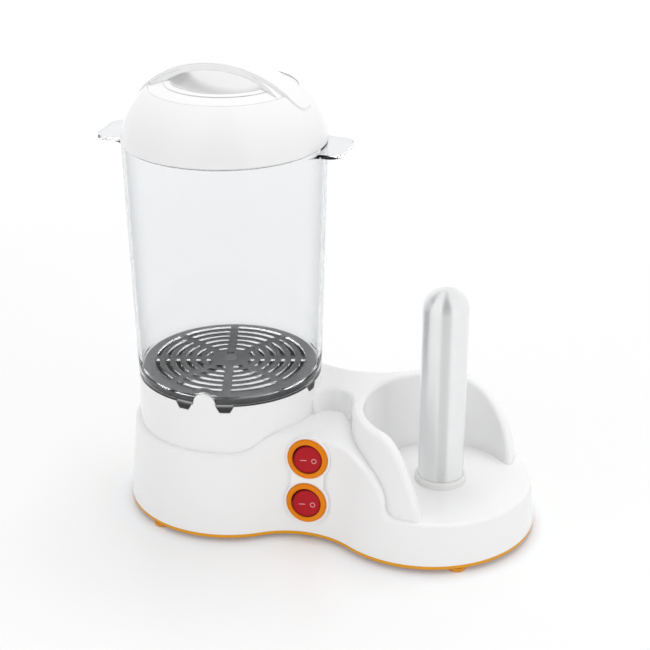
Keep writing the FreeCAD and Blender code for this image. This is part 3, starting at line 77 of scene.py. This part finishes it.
class Signal:
    """One output socket, used as a number or vector in Python expressions."""

    def __init__(self, shader: "Shader", socket: bpy.types.NodeSocket) -> None:
        """Keep the socket and the tree that it is in."""
        self.shader = shader
        self.socket = socket

    def _maths(self, operation: str, *values: "Signal | float") -> "Signal":
        """Add a Math node of this operation, with its values in order."""
        inputs = dict(enumerate(values))
        return self.shader.signal("Value", "ShaderNodeMath", {"operation": operation}, inputs)

    def _vector_maths(self, operation: str, other: "Vec3 | Signal") -> "Signal":
        """Add a Vector Math node that makes a number of this vector and another."""
        inputs = {0: self, 1: other}
        return self.shader.signal("Value", "ShaderNodeVectorMath", {"operation": operation}, inputs)

    def __add__(self, other: "Signal | float") -> "Signal":
        """Sum of the two."""
        return self._maths("ADD", self, other)

    def __radd__(self, other: float) -> "Signal":
        """Sum of the two."""
        return self._maths("ADD", other, self)

    def __sub__(self, other: "Signal | float") -> "Signal":
        """This less the other."""
        return self._maths("SUBTRACT", self, other)

    def __rsub__(self, other: float) -> "Signal":
        """The other less this."""
        return self._maths("SUBTRACT", other, self)

    def __mul__(self, other: "Signal | float") -> "Signal":
        """Product of the two."""
        return self._maths("MULTIPLY", self, other)

    def __rmul__(self, other: float) -> "Signal":
        """Product of the two."""
        return self._maths("MULTIPLY", other, self)

    def __pow__(self, other: float) -> "Signal":
        """This to a power."""
        return self._maths("POWER", self, other)

    def __abs__(self) -> "Signal":
        """This without its sign."""
        return self._maths("ABSOLUTE", self)

    def least(self, other: "Signal") -> "Signal":
        """The smaller of the two."""
        return self._maths("MINIMUM", self, other)

    def along(self, way: "Vec3 | Signal") -> "Signal":
        """Length of this vector along a direction."""
        return self._vector_maths("DOT_PRODUCT", way)

    def distance(self, spot: Vec3) -> "Signal":
        """Distance of this vector from a spot."""
        return self._vector_maths("DISTANCE", spot)

    def step(self, low: float, high: float) -> "Signal":
        """Smooth step from 0 at low to 1 at high."""
        inputs = {"Value": self, "From Min": low, "From Max": high}
        return self.shader.signal("Result", "ShaderNodeMapRange",
                                  {"interpolation_type": "SMOOTHSTEP"}, inputs)


class Shader:
    """Node tree of a material or world, and the one place where its nodes are made."""

    def __init__(self, owner: bpy.types.Material | bpy.types.World) -> None:
        """Empty the owner's tree.

        Args:
            owner: The material or world to paint.
        """
        owner.use_nodes = True
        self.tree = owner.node_tree
        self.tree.nodes.clear()

    def node(self, kind: str, settings: dict | None = None,
             inputs: dict | None = None) -> bpy.types.Node:
        """Add one node.

        Args:
            kind: Blender's name for the node type.
            settings: Attributes to set before anything else.
            inputs: Values or signals by socket name or index.

        Returns:
            The node.
        """
        made = self.tree.nodes.new(kind)
        for name, value in (settings or {}).items():
            setattr(made, name, value)
        for name, value in (inputs or {}).items():
            if isinstance(value, Signal):
                self.tree.links.new(value.socket, made.inputs[name])
            else:
                made.inputs[name].default_value = value
        return made

    def signal(self, output: str, kind: str, settings: dict | None = None,
               inputs: dict | None = None) -> Signal:
        """Add one node and return the output socket of this name as a signal."""
        return Signal(self, self.node(kind, settings, inputs).outputs[output])

    def place(self, stretch: Vec3 = (1.0, 1.0, 1.0)) -> Signal:
        """Position on the object in metres, times a factor on each axis."""
        inputs = {0: self.signal("Object", "ShaderNodeTexCoord"), 1: stretch}
        return self.signal("Vector", "ShaderNodeVectorMath", {"operation": "MULTIPLY"}, inputs)

    def noise_at(self, place: Signal, size: float, detail: float = 2.0) -> Signal:
        """Noise whose largest grains have this size in metres, with octaves of finer detail."""
        inputs = {"Vector": place, "Scale": 1 / size, "Detail": detail}
        return self.signal("Fac", "ShaderNodeTexNoise", None, inputs)

    def noise(self, size: float, detail: float = 2.0) -> Signal:
        """Noise over the object, as noise_at makes it."""
        return self.noise_at(self.place(), size, detail)

    def blend(self, factor: Signal, low: "Colour | Signal", high: "Colour | Signal") -> Signal:
        """Colour between two, by a factor.

        Args:
            factor: 0 for the first colour and 1 for the second.
            low: First colour.
            high: Second colour.

        Returns:
            The mixed colour.
        """
        first, second = (end if isinstance(end, Signal) else (*end, 1) for end in (low, high))
        mix = self.node("ShaderNodeMix", {"data_type": "RGBA"}, {0: factor, 6: first, 7: second})
        return Signal(self, mix.outputs[2])

    def eased(self, radius: float) -> Signal:
        """Normal whose edges are rounded to this radius in metres."""
        return self.signal("Normal", "ShaderNodeBevel", {"samples": BEVEL_RAYS}, {"Radius": radius})

    def edges(self, width: float) -> Signal:
        """1 on an edge, fading to 0 within this width of it."""
        normal = self.signal("Normal", "ShaderNodeNewGeometry")
        return (1 - normal.along(self.eased(width))).step(*EDGE_TURN)

    def relief(self, height: Signal, distance: float, edge_round: float) -> Signal:
        """Normal of a surface with eased edges, whose height from 0 to 1 rises this distance."""
        inputs = {"Height": height, "Distance": distance, "Normal": self.eased(edge_round)}
        return self.signal("Normal", "ShaderNodeBump", None, inputs)

    def principled(self, inputs: dict) -> Signal:
        """Principled shader with these sockets."""
        return self.signal("BSDF", "ShaderNodeBsdfPrincipled", None, inputs)

    def surface(self, shade: Signal) -> None:
        """End the tree in this shader."""
        self.node("ShaderNodeOutputMaterial", None, {"Surface": shade})


def grey(level: float) -> Colour:
    """Neutral colour of this level."""
    return (level, level, level)


def paler(colour: Colour, share: float) -> Colour:
    """Colour moved towards white by a share, or towards black by a negative one."""
    goal = 1.0 if share > 0 else 0.0
    return tuple(part + (goal - part) * abs(share) for part in colour)


@dataclass(frozen=True)
class Finish:
    """What every finish has: a name and a way to make its material once."""

    name: str

    def material(self) -> bpy.types.Material:
        """Find the finish's material, or make it on first use.

        Returns:
            The material.
        """
        found = bpy.data.materials.get(self.name)
        if found is None:
            found = bpy.data.materials.new(self.name)
            self.paint(Shader(found))
        return found

    def paint(self, shader: Shader) -> None:
        """Fill the material's node tree."""
        raise NotImplementedError


@dataclass(frozen=True)
class Moulding(Finish):
    """Plastic with a slow drift of gloss and tint, a faint ripple, and edges turned to its rim
    colour as painted shade.
    """

    colour: Colour
    roughness: float = 0.24
    drift: float = 0.06
    drift_size: float = 0.035
    tint: float = 0.02
    ripple: float = 0.000012
    ripple_size: float = 0.006
    edge_round: float = 0.0004
    ior: float = 1.5
    shine: float = 0.5
    # Colour of painted shade on the edges, and how far in from them it reaches
    rim: Colour | None = None
    edge_shade_width: float = 0.0009

    def paint(self, shader: Shader) -> None:
        """Fill the material's node tree.

        Args:
            shader: The tree.
        """
        cloud = shader.noise(self.drift_size)
        ripple = shader.noise(self.ripple_size, detail=1.0)
        skin = shader.blend(cloud, paler(self.colour, -self.tint), paler(self.colour, self.tint))
        # Painted shade: edges turn to the rim colour, darker as a rounded edge turned from the
        # light
        if self.rim:
            skin = shader.blend(shader.edges(self.edge_shade_width), skin, self.rim)
        shader.surface(shader.principled({
            "Base Color": skin,
            "Roughness": self.roughness + (cloud - NOISE_MEAN) * self.drift,
            "Normal": shader.relief(ripple, self.ripple, self.edge_round),
            "IOR": self.ior,
            "Specular IOR Level": self.shine,
        }))


@dataclass(frozen=True)
class ClearMoulding(Finish):
    """Clear wavy plastic with painted light in its colour: grey shade where it is seen edge on,
    grey glints along its edges, which are also rougher, and dark shade at its feet.

    Below floor_top it bends light more than above. A ..._at pair is where a step starts and ends.
    """

    clear: Colour
    # Grey painted as shade where the plastic is seen edge on, and as glints along its edges
    edge: Colour
    # Colour of the painted shade at the jar's foot, and the height where that shade ends
    foot_shade: Colour
    foot_shade_top: float
    floor_top: float
    fade: float = 0.0015
    edge_at: Pair = (0.42, 0.96)
    edge_glint_width: float = 0.0005
    wave: float = 0.00005
    wave_size: float = 0.03
    edge_round: float = 0.0003
    roughness: float = 0.015
    haze: float = 0.02
    haze_at: Pair = (0.55, 0.8)
    edge_glint_haze: float = 0.6
    floor_ior: float = 1.095
    floor_coat: float = 0.5
    wall_ior: float = 1.05
    wall_coat: float = 0.25
    coat_roughness: float = 0.03

    def paint(self, shader: Shader) -> None:
        """Fill the material's node tree.

        Args:
            shader: The tree.
        """
        wave = shader.noise(self.wave_size, detail=0.0)
        cloud = shader.noise(self.wave_size)
        height = shader.place().along((0, 0, 1))
        # Painted shade: the colour turns grey where the plastic is seen edge on, like the dark
        # edges of clear plastic
        edge_on = shader.signal("Facing", "ShaderNodeLayerWeight").step(*self.edge_at)
        high = height.step(self.floor_top, self.floor_top + self.fade)
        # Painted shade: the jar turns dark towards its foot, where the gap by the tower lies in
        # shade
        low = 1 - height.step(self.foot_shade_top - self.fade, self.foot_shade_top)
        # Painted glints: edges turn to the same grey, which shows as pale lines over the dark pan;
        # these edges are rougher too
        edge_glint = shader.edges(self.edge_glint_width)
        tint = shader.blend(edge_glint, shader.blend(edge_on, self.clear, self.edge), self.edge)
        haze = self.roughness + cloud.step(*self.haze_at) * self.haze
        shared = {
            "Base Color": shader.blend(low, tint, self.foot_shade),
            "Normal": shader.relief(wave, self.wave, self.edge_round),
            "Transmission Weight": 1.0,
            "Coat Roughness": self.coat_roughness,
        }
        floor = shader.principled({
            **shared,
            "Roughness": haze,
            "IOR": self.floor_ior,
            "Coat Weight": self.floor_coat,
        })
        wall = shader.principled({
            **shared,
            "Roughness": haze + edge_glint * self.edge_glint_haze,
            "IOR": self.wall_ior,
            "Coat Weight": self.wall_coat,
        })
        both = {0: high, 1: floor, 2: wall}
        shader.surface(shader.signal("Shader", "ShaderNodeMixShader", None, both))


@dataclass(frozen=True)
class Metal(Finish):
    """Bare metal with fine machining lines or a cast grain, and a slow mottle."""

    colour: Colour
    lay: Lay
    axis: Pair = (0.0, 0.0)
    roughness: float = 0.28
    line: float = 0.0004
    line_gloss: float = 0.12
    line_run: float = 0.02
    grain: float = 0.0016
    depth: float = 0.00001
    stain: Colour | None = None
    mottle: float = 0.12
    mottle_gloss: float = 0.6
    mottle_size: float = 0.012
    mottle_at: Pair = (0.35, 0.75)
    edge_round: float = 0.0003
    stretch: float = 0.0
    stretch_turn: float = 0.25

    def lines(self, shader: Shader) -> Signal:
        """Make the machining lines or the grain.

        Args:
            shader: The material's tree.

        Returns:
            Their height, from 0 to 1.
        """
        if self.lay is Lay.CAST:
            return shader.noise(self.grain, detail=3.0)
        if self.lay is Lay.ALONG_X:
            along_x = shader.place((self.line_run, 1.0, 1.0))
            return shader.noise_at(along_x, self.line, detail=1.0)
        place = shader.node("ShaderNodeSeparateXYZ", None, {0: shader.place()})
        across, ahead, height = (Signal(shader, output) for output in place.outputs)
        across = across - self.axis[0]
        ahead = ahead - self.axis[1]
        radius = (across * across + ahead * ahead) ** 0.5
        ring = shader.signal("Vector", "ShaderNodeCombineXYZ", None, {"X": radius, "Z": height})
        return shader.noise_at(ring, self.line)

    def paint(self, shader: Shader) -> None:
        """Fill the material's node tree.

        Args:
            shader: The tree.
        """
        lines = self.lines(shader)
        cloud = shader.noise(self.mottle_size, detail=3.0)
        stain = self.stain or paler(self.colour, -self.mottle)
        sheen = (lines - NOISE_MEAN) * self.line_gloss
        patch = (cloud - NOISE_MEAN) * (self.mottle * self.mottle_gloss)
        shader.surface(shader.principled({
            "Base Color": shader.blend(cloud.step(*self.mottle_at), self.colour, stain),
            "Metallic": 1.0,
            "Roughness": self.roughness + sheen + patch,
            "Normal": shader.relief(lines, self.depth, self.edge_round),
            "Anisotropic": self.stretch,
            "Anisotropic Rotation": self.stretch_turn,
        }))


@dataclass(frozen=True)
class Rubber(Finish):
    """Soft rubber or silicone with a dull, dusty skin."""

    colour: Colour
    roughness: float = 0.62
    dust_size: float = 0.004
    dust_at: Pair = (0.4, 0.8)
    dust_pale: float = 0.08
    dust_gloss: float = 0.2
    grain: float = 0.00002
    grain_size: float = 0.0006
    edge_round: float = 0.0004
    ior: float = 1.45

    def paint(self, shader: Shader) -> None:
        """Fill the material's node tree.

        Args:
            shader: The tree.
        """
        dust = shader.noise(self.dust_size, detail=4.0)
        dusty = paler(self.colour, self.dust_pale)
        grain = shader.noise(self.grain_size)
        shader.surface(shader.principled({
            "Base Color": shader.blend(dust.step(*self.dust_at), self.colour, dusty),
            "Roughness": self.roughness + (dust - NOISE_MEAN) * self.dust_gloss,
            "Normal": shader.relief(grain, self.grain, self.edge_round),
            "IOR": self.ior,
        }))


# X of the middle of each lobe, and the X and Y of the spike's axis
JAR_LOBE_X = -0.056375
SPIKE_LOBE_X = 0.065375
SPIKE_AXIS = (0.073625, -0.005)

WHITE = Moulding("white_gloss_moulding", grey(0.93), roughness=0.1, drift=0.04)
LID_WHITE = Moulding("lid_gloss_moulding", grey(0.915), roughness=0.13, drift=0.04,
                     edge_round=0.0009)
COLLAR_WHITE = Moulding("collar_satin_moulding", (0.84, 0.84, 0.83), roughness=0.4)
PLATE_ORANGE = Moulding("orange_plate_moulding", (0.80, 0.345, 0.006), roughness=0.33, shine=0.25)
# Painted shade: the flange's and rocker's rim colours darken their rounded edges
FLANGE_ORANGE = Moulding("orange_flange_moulding", (0.83, 0.235, 0.0), roughness=0.35,
                         edge_round=0.0003, shine=0.06, rim=(0.50, 0.11, 0.0), edge_shade_width=0.0005)
ROCKER_RED = Moulding("red_rocker_moulding", (0.45, 0.002, 0.010), roughness=0.25,
                      edge_round=0.0005, shine=0.1, rim=(0.16, 0.001, 0.004), edge_shade_width=0.0016)
MARK_PINK = Moulding("pale_mark_print", (0.84, 0.42, 0.45), roughness=0.4, edge_round=0.0001)
CREAM = Moulding("cream_ceramic_moulding", (0.80, 0.78, 0.71), roughness=0.45)
BLACK = Moulding("black_moulding", (0.025, 0.025, 0.027), roughness=0.42)
# Near-black heating pan under the jar floor
PAN_NEAR_BLACK = Moulding("near_black_pan", (0.026, 0.026, 0.028), roughness=0.3, drift=0.1,
                    drift_size=0.01, ripple=0.00001, ripple_size=0.0012)
# The jar's edge grey and foot colour are painted shade and glints
CLEAR = ClearMoulding("clear_jar_moulding", clear=(0.93, 0.935, 0.94), edge=(0.70, 0.72, 0.74),
                      foot_shade=grey(0.2), foot_shade_top=0.0846, floor_top=0.0915)
ORANGE_RUBBER = Rubber("orange_foot_rubber", (0.74, 0.29, 0.015))
SEAL_RUBBER = Rubber("dark_silicone_seal", grey(0.03), roughness=0.5)
RED_SLEEVE = Rubber("red_silicone_sleeve", (0.42, 0.03, 0.02), roughness=0.45)
GREEN_SLEEVE = Rubber("green_silicone_sleeve", (0.05, 0.26, 0.07), roughness=0.45)
SPIKE_METAL = Metal("turned_spike_aluminium", (0.94, 0.945, 0.95), Lay.ROUND, axis=SPIKE_AXIS,
                    roughness=0.36, depth=0.0000006, mottle=0.015, stretch=1.0)
CAST_METAL = Metal("cast_heater_aluminium", (0.62, 0.63, 0.64), Lay.CAST, roughness=0.45,
                   depth=0.00004)
ELEMENT_STEEL = Metal("heat_tinted_element", (0.46, 0.43, 0.40), Lay.CAST, roughness=0.38,
                      stain=(0.30, 0.24, 0.22))
BRACKET_STEEL = Metal("plated_bracket_steel", (0.66, 0.66, 0.64), Lay.ALONG_X, roughness=0.32)
SCREW_STEEL = Metal("plated_screw_steel", (0.70, 0.70, 0.69), Lay.CAST, roughness=0.3)
BRASS = Metal("stamped_brass", (0.76, 0.55, 0.25), Lay.ALONG_X, roughness=0.3)


class SubAssembly:
    """What every sub-assembly shares: dressing frame nodes and adding pieces."""

    def dress(self, finishes: dict[str, Finish]) -> None:
        """Give frame nodes their finishes.

        Args:
            finishes: Finish by node name.
        """
        for name, finish in finishes.items():
            shape = frame["nodes"][name]
            shape.data.materials.clear()
            shape.data.materials.append(finish.material())
            log.info("%s: %s", name, finish.name)

    def piece(self, name: str, shape: bmesh.types.BMesh, finish: Finish, body: Body,
              slot: str) -> None:
        """Turn a mesh into a piece that rides on a body.

        Args:
            name: The piece's name.
            shape: Its mesh in the frame's metres, freed here.
            finish: Its finish.
            body: The body that it rides on.
            slot: The record's material slot. It is not used.
        """
        bmesh.ops.recalc_face_normals(shape, faces=shape.faces)
        mesh = bpy.data.meshes.new(name)
        shape.to_mesh(mesh)
        shape.free()
        mesh.shade_smooth()
        mesh.materials.append(finish.material())
        made = bpy.data.objects.new(name, mesh)
        bpy.context.scene.collection.objects.link(made)
        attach(made, body.value)
        log.info("%s: %d faces on %s", name, len(mesh.polygons), body.value)


@dataclass
class Casing(SubAssembly):
    """White housing on its orange base plate, with feet and screws."""

    def build(self) -> None:
        """Dress the casing's nodes."""
        self.dress({
            "housing": WHITE,
            "base_plate": PLATE_ORANGE,
            "feet": ORANGE_RUBBER,
            "base_screws": SCREW_STEEL,
        })


@dataclass
class SteamPan(SubAssembly):
    """Heating pan in the tower, with what holds and heats it."""

    def build(self) -> None:
        """Dress the pan's nodes."""
        self.dress({
            "heating_pan": PAN_NEAR_BLACK,
            "pan_seal": SEAL_RUBBER,
            "heater_plate": CAST_METAL,
            "heating_element": ELEMENT_STEEL,
            "pan_yoke": BRACKET_STEEL,
            "pan_nut": SCREW_STEEL,
            "pan_thermostat": BLACK,
            "thermal_fuse": BLACK,
        })


@dataclass
class SpikeUnit(SubAssembly):
    """Spike with its collar, clamp and inner heater."""

    def build(self) -> None:
        """Dress the spike's nodes."""
        self.dress({
            "bun_spike": SPIKE_METAL,
            "spike_collar": COLLAR_WHITE,
            "spike_clamp": BRACKET_STEEL,
            "clamp_screws": SCREW_STEEL,
            "spike_heater": ELEMENT_STEEL,
            "spike_insulators": CREAM,
        })


@dataclass
class RockerSwitch(SubAssembly):
    """Round switch: orange flange, red rocker and its two pale marks, a bar and a ring.

    Marks are placed on the rocker's face, across and up from its pivot.
    """

    side: str
    body: Body
    bar_offset: float = -0.0021
    bar_length: float = 0.0036
    bar_steps: int = 8
    ring_offset: float = 0.0040
    ring_radius: float = 0.0013
    ring_steps: int = 40
    mark_drop: float = 0.0006
    stroke: float = 0.00045
    rise: float = 0.00012
    shoulder: float = 0.42
    shoulder_rise: float = 0.7
    sink: float = 0.0002
    ray_from: float = 0.02

    def build(self) -> None:
        """Dress the switch and raise its marks."""
        self.dress({f"{self.side}_switch": FLANGE_ORANGE, f"{self.side}_rocker": ROCKER_RED})
        for name, path, closed in (("on_mark", self.bar(), False), ("off_mark", self.ring(), True)):
            ridge = self.raised_line(path, closed)
            self.piece(f"{self.side}_{name}", ridge, MARK_PINK, self.body, "rocker_red")

    def bar(self) -> list[Vector]:
        """Points along the bar."""
        shares = [step / self.bar_steps - 0.5 for step in range(self.bar_steps + 1)]
        return [Vector((self.bar_offset + self.bar_length * share, -self.mark_drop))
                for share in shares]

    def ring(self) -> list[Vector]:
        """Points round the ring."""
        turns = [math.tau * step / self.ring_steps for step in range(self.ring_steps)]
        return [Vector((self.ring_offset + self.ring_radius * math.cos(turn),
                        self.ring_radius * math.sin(turn) - self.mark_drop)) for turn in turns]

    def raised_line(self, path: list[Vector], closed: bool) -> bmesh.types.BMesh:
        """Low rounded ridge that follows the rocker's face.

        Args:
            path: Points in the panel's plane, across and up from the pivot.
            closed: Whether the last point joins the first.

        Returns:
            The ridge's mesh.
        """
        joint = next(joint for joint in frame["joints"] if joint["child"] == self.body.value)
        pivot = Vector(joint["pos_m"])
        up = -Vector(joint["axis"])
        across = Vector((1, 0, 0))
        outward = across.cross(up)
        rocker = frame["nodes"][f"{self.side}_rocker"]
        face = BVHTree.FromPolygons([v.co for v in rocker.data.vertices],
                                    [p.vertices[:] for p in rocker.data.polygons])
        flank = self.rise * self.shoulder_rise
        section = ((-0.5, -self.sink), (-self.shoulder, flank), (0.0, self.rise),
                   (self.shoulder, flank), (0.5, -self.sink))
        shape = bmesh.new()
        rows = []
        for index, point in enumerate(path):
            before = path[index - 1] if index or closed else point
            after = path[(index + 1) % len(path)] if index < len(path) - 1 or closed else point
            along = (after - before).normalized()
            aside = Vector((-along.y, along.x))
            row = []
            for share, height in section:
                spot = point + aside * share * self.stroke
                start = pivot + across * spot.x + up * spot.y + outward * self.ray_from
                hit = face.ray_cast(start, -outward)[0]
                row.append(shape.verts.new(hit + outward * height))
            rows.append(row)
        last = len(rows) if closed else len(rows) - 1
        for index in range(last):
            here, there = rows[index], rows[(index + 1) % len(rows)]
            for corner in range(len(section)):
                beside = (corner + 1) % len(section)
                shape.faces.new((here[corner], here[beside], there[beside], there[corner]))
        if not closed:
            shape.faces.new(rows[0])
            shape.faces.new(rows[-1])
        return shape


@dataclass
class Wiring(SubAssembly):
    """Leads, terminals and the cord's gland at the back."""

    red_leads: tuple[str, ...] = ("live_lead_lower", "live_lead_upper", "pan_lead", "spike_lead",
                                  "return_lead")

    def build(self) -> None:
        """Dress the wiring's nodes."""
        self.dress({
            "switch_terminals": BRASS,
            "cable_gland": BLACK,
            "gland_nut": BLACK,
            "terminal_block": CREAM,
            "earth_lead": GREEN_SLEEVE,
            **{name: RED_SLEEVE for name in self.red_leads},
        })


@dataclass
class JarUnit(SubAssembly):
    """Clear jar with its slotted floor."""

    def build(self) -> None:
        """Dress the jar."""
        self.dress({"jar": CLEAR})


@dataclass
class LidUnit(SubAssembly):
    """White domed lid with its recessed grip."""

    def build(self) -> None:
        """Dress the lid."""
        self.dress({"lid": LID_WHITE})


@dataclass(frozen=True)
class Softbox:
    """Square soft lamp that lights the object but doesn't show."""

    name: str
    place: Vec3
    power: float
    aim: Vec3 = (0.0, 0.0, 0.10)
    size: float = 1.0

    def hang(self) -> None:
        """Make the lamp."""
        data = bpy.data.lights.new(self.name, "AREA")
        data.shape = "SQUARE"
        data.size = self.size
        data.energy = self.power
        made = bpy.data.objects.new(self.name, data)
        towards = (Vector(self.aim) - Vector(self.place)).to_track_quat("-Z", "Y")
        made.matrix_world = Matrix.Translation(self.place) @ towards.to_matrix().to_4x4()
        made.visible_camera = made.visible_glossy = made.visible_transmission = False
        bpy.context.scene.collection.objects.link(made)


@dataclass
class Studio:
    """Camera, pale floor, white surround and soft lamps. Angles are in degrees."""

    camera_place: Vec3 = (0.226205, -0.80186, 0.49188)
    azimuth: float = 15.625
    elevation: float = 24.18
    lens: float = 87.34
    sensor: float = 36.0
    view_end: float = 50.0
    floor_half: float = 6.0
    floor_cells: int = 8
    floor_colour: Colour = grey(0.9)
    floor_roughness: float = 0.28
    floor_drift: float = 0.04
    floor_drift_size: float = 0.05
    floor_shine: float = 0.3
    floor_lift: Colour = grey(0.06)
    rim_lift: Colour = (0.068, 0.115, 0.155)
    rim_reach: float = 0.017
    # X of each lobe's middle, and its radius
    lobes: tuple[Pair, ...] = ((JAR_LOBE_X, 0.062), (SPIKE_LOBE_X, 0.063))
    far_lift: Colour = grey(0.3)
    far_at: Pair = (0.4, 1.4)
    surround: float = 0.73
    gap_half: float = 24.0
    gap_edge: float = 0.08
    gap_depth: float = 0.6
    softboxes: tuple[Softbox, ...] = (
        Softbox("left_softbox", (-1.2, -1.2, 0.45), 3.0),
        Softbox("right_softbox", (1.4, -0.8, 0.5), 4.2),
        Softbox("top_softbox", (0.0, 0.35, 1.8), 9.5),
    )

    def build(self) -> None:
        """Make the studio."""
        self.camera()
        self.floor()
        self.world()
        for softbox in self.softboxes:
            softbox.hang()
        bpy.context.scene.view_settings.view_transform = "Standard"

    def camera(self) -> None:
        """Make the camera at the photograph's viewing angle."""
        data = bpy.data.cameras.new("camera")
        data.lens = self.lens
        data.sensor_width = self.sensor
        data.clip_end = self.view_end
        made = bpy.data.objects.new("camera", data)
        made.location = self.camera_place
        made.rotation_euler = (math.radians(90 - self.elevation), 0, math.radians(self.azimuth))
        bpy.context.scene.collection.objects.link(made)
        bpy.context.scene.camera = made

    def rays(self, shader: Shader) -> tuple[Signal, ...]:
        """Tell rays apart.

        Args:
            shader: The tree that needs to know.

        Returns:
            1 for camera rays, 1 for glossy rays and 1 for transmission rays, in this order.
        """
        path = shader.node("ShaderNodeLightPath")
        kinds = ("Camera", "Glossy", "Transmission")
        return tuple(Signal(shader, path.outputs[f"Is {kind} Ray"]) for kind in kinds)

    def floor(self) -> None:
        """Lay the plain pale floor.

        Its own light shows only in view, in mirrors and through the jar. It lifts the floor to
        white, and is bluer close to the lobes, where the orange plate throws its glow.
        """
        shape = bmesh.new()
        bmesh.ops.create_grid(shape, x_segments=self.floor_cells, y_segments=self.floor_cells,
                              size=self.floor_half)
        mesh = bpy.data.meshes.new("floor")
        shape.to_mesh(mesh)
        shape.free()
        material = bpy.data.materials.new("pale_floor")
        shader = Shader(material)
        camera, glossy, through = self.rays(shader)
        seen = (camera + glossy + through).step(0.0, 1.0)
        flat = shader.place((1, 1, 0))
        far = flat.distance((0, 0, 0)).step(*self.far_at)
        gaps = [flat.distance((middle, 0, 0)) - radius for middle, radius in self.lobes]
        rim = 1 - gaps[0].least(gaps[1]).step(0.0, self.rim_reach)
        lift = shader.blend(far, shader.blend(rim, self.floor_lift, self.rim_lift), self.far_lift)
        drift = shader.noise(self.floor_drift_size) * self.floor_drift
        shader.surface(shader.principled({
            "Base Color": (*self.floor_colour, 1),
            "Roughness": self.floor_roughness + drift,
            "Specular IOR Level": self.floor_shine,
            "Emission Color": shader.blend(seen, grey(0.0), lift),
            "Emission Strength": 1.0,
        }))
        mesh.materials.append(material)
        made = bpy.data.objects.new("floor", mesh)
        bpy.context.scene.collection.objects.link(made)

    def world(self) -> None:
        """Surround the scene with plain soft light.

        It is white in view. Mirrors see it dimmer in a gap on the camera's side, as between two
        softboxes.
        """
        world = bpy.data.worlds.new("surround")
        bpy.context.scene.world = world
        shader = Shader(world)
        camera, glossy, through = self.rays(shader)
        turn = math.radians(self.azimuth)
        way = shader.signal("Generated", "ShaderNodeTexCoord")
        ahead = way.along((math.sin(turn), -math.cos(turn), 0))
        aside = way.along((math.cos(turn), math.sin(turn), 0))
        inside = ahead * math.tan(math.radians(self.gap_half)) - abs(aside)
        gap = inside.step(-self.gap_edge, self.gap_edge)
        to_white = 1 - self.surround
        mirrored = glossy * (1 - through) * (to_white - gap * self.gap_depth)
        strength = self.surround + (camera + through) * to_white + mirrored
        back = shader.signal("Background", "ShaderNodeBackground", None,
                             {"Color": (1, 1, 1, 1), "Strength": strength})
        shader.node("ShaderNodeOutputWorld", None, {"Surface": back})


def main() -> None:
    """Build the studio and every sub-assembly."""
    logging.basicConfig(level=logging.INFO, format="%(message)s")
    Studio().build()
    parts = [Casing(), SteamPan(), SpikeUnit(), RockerSwitch("upper", Body.UPPER_ROCKER),
             RockerSwitch("lower", Body.LOWER_ROCKER), Wiring(), JarUnit(), LidUnit()]
    for part in parts:
        part.build()


if __name__ == "__main__":
    main()
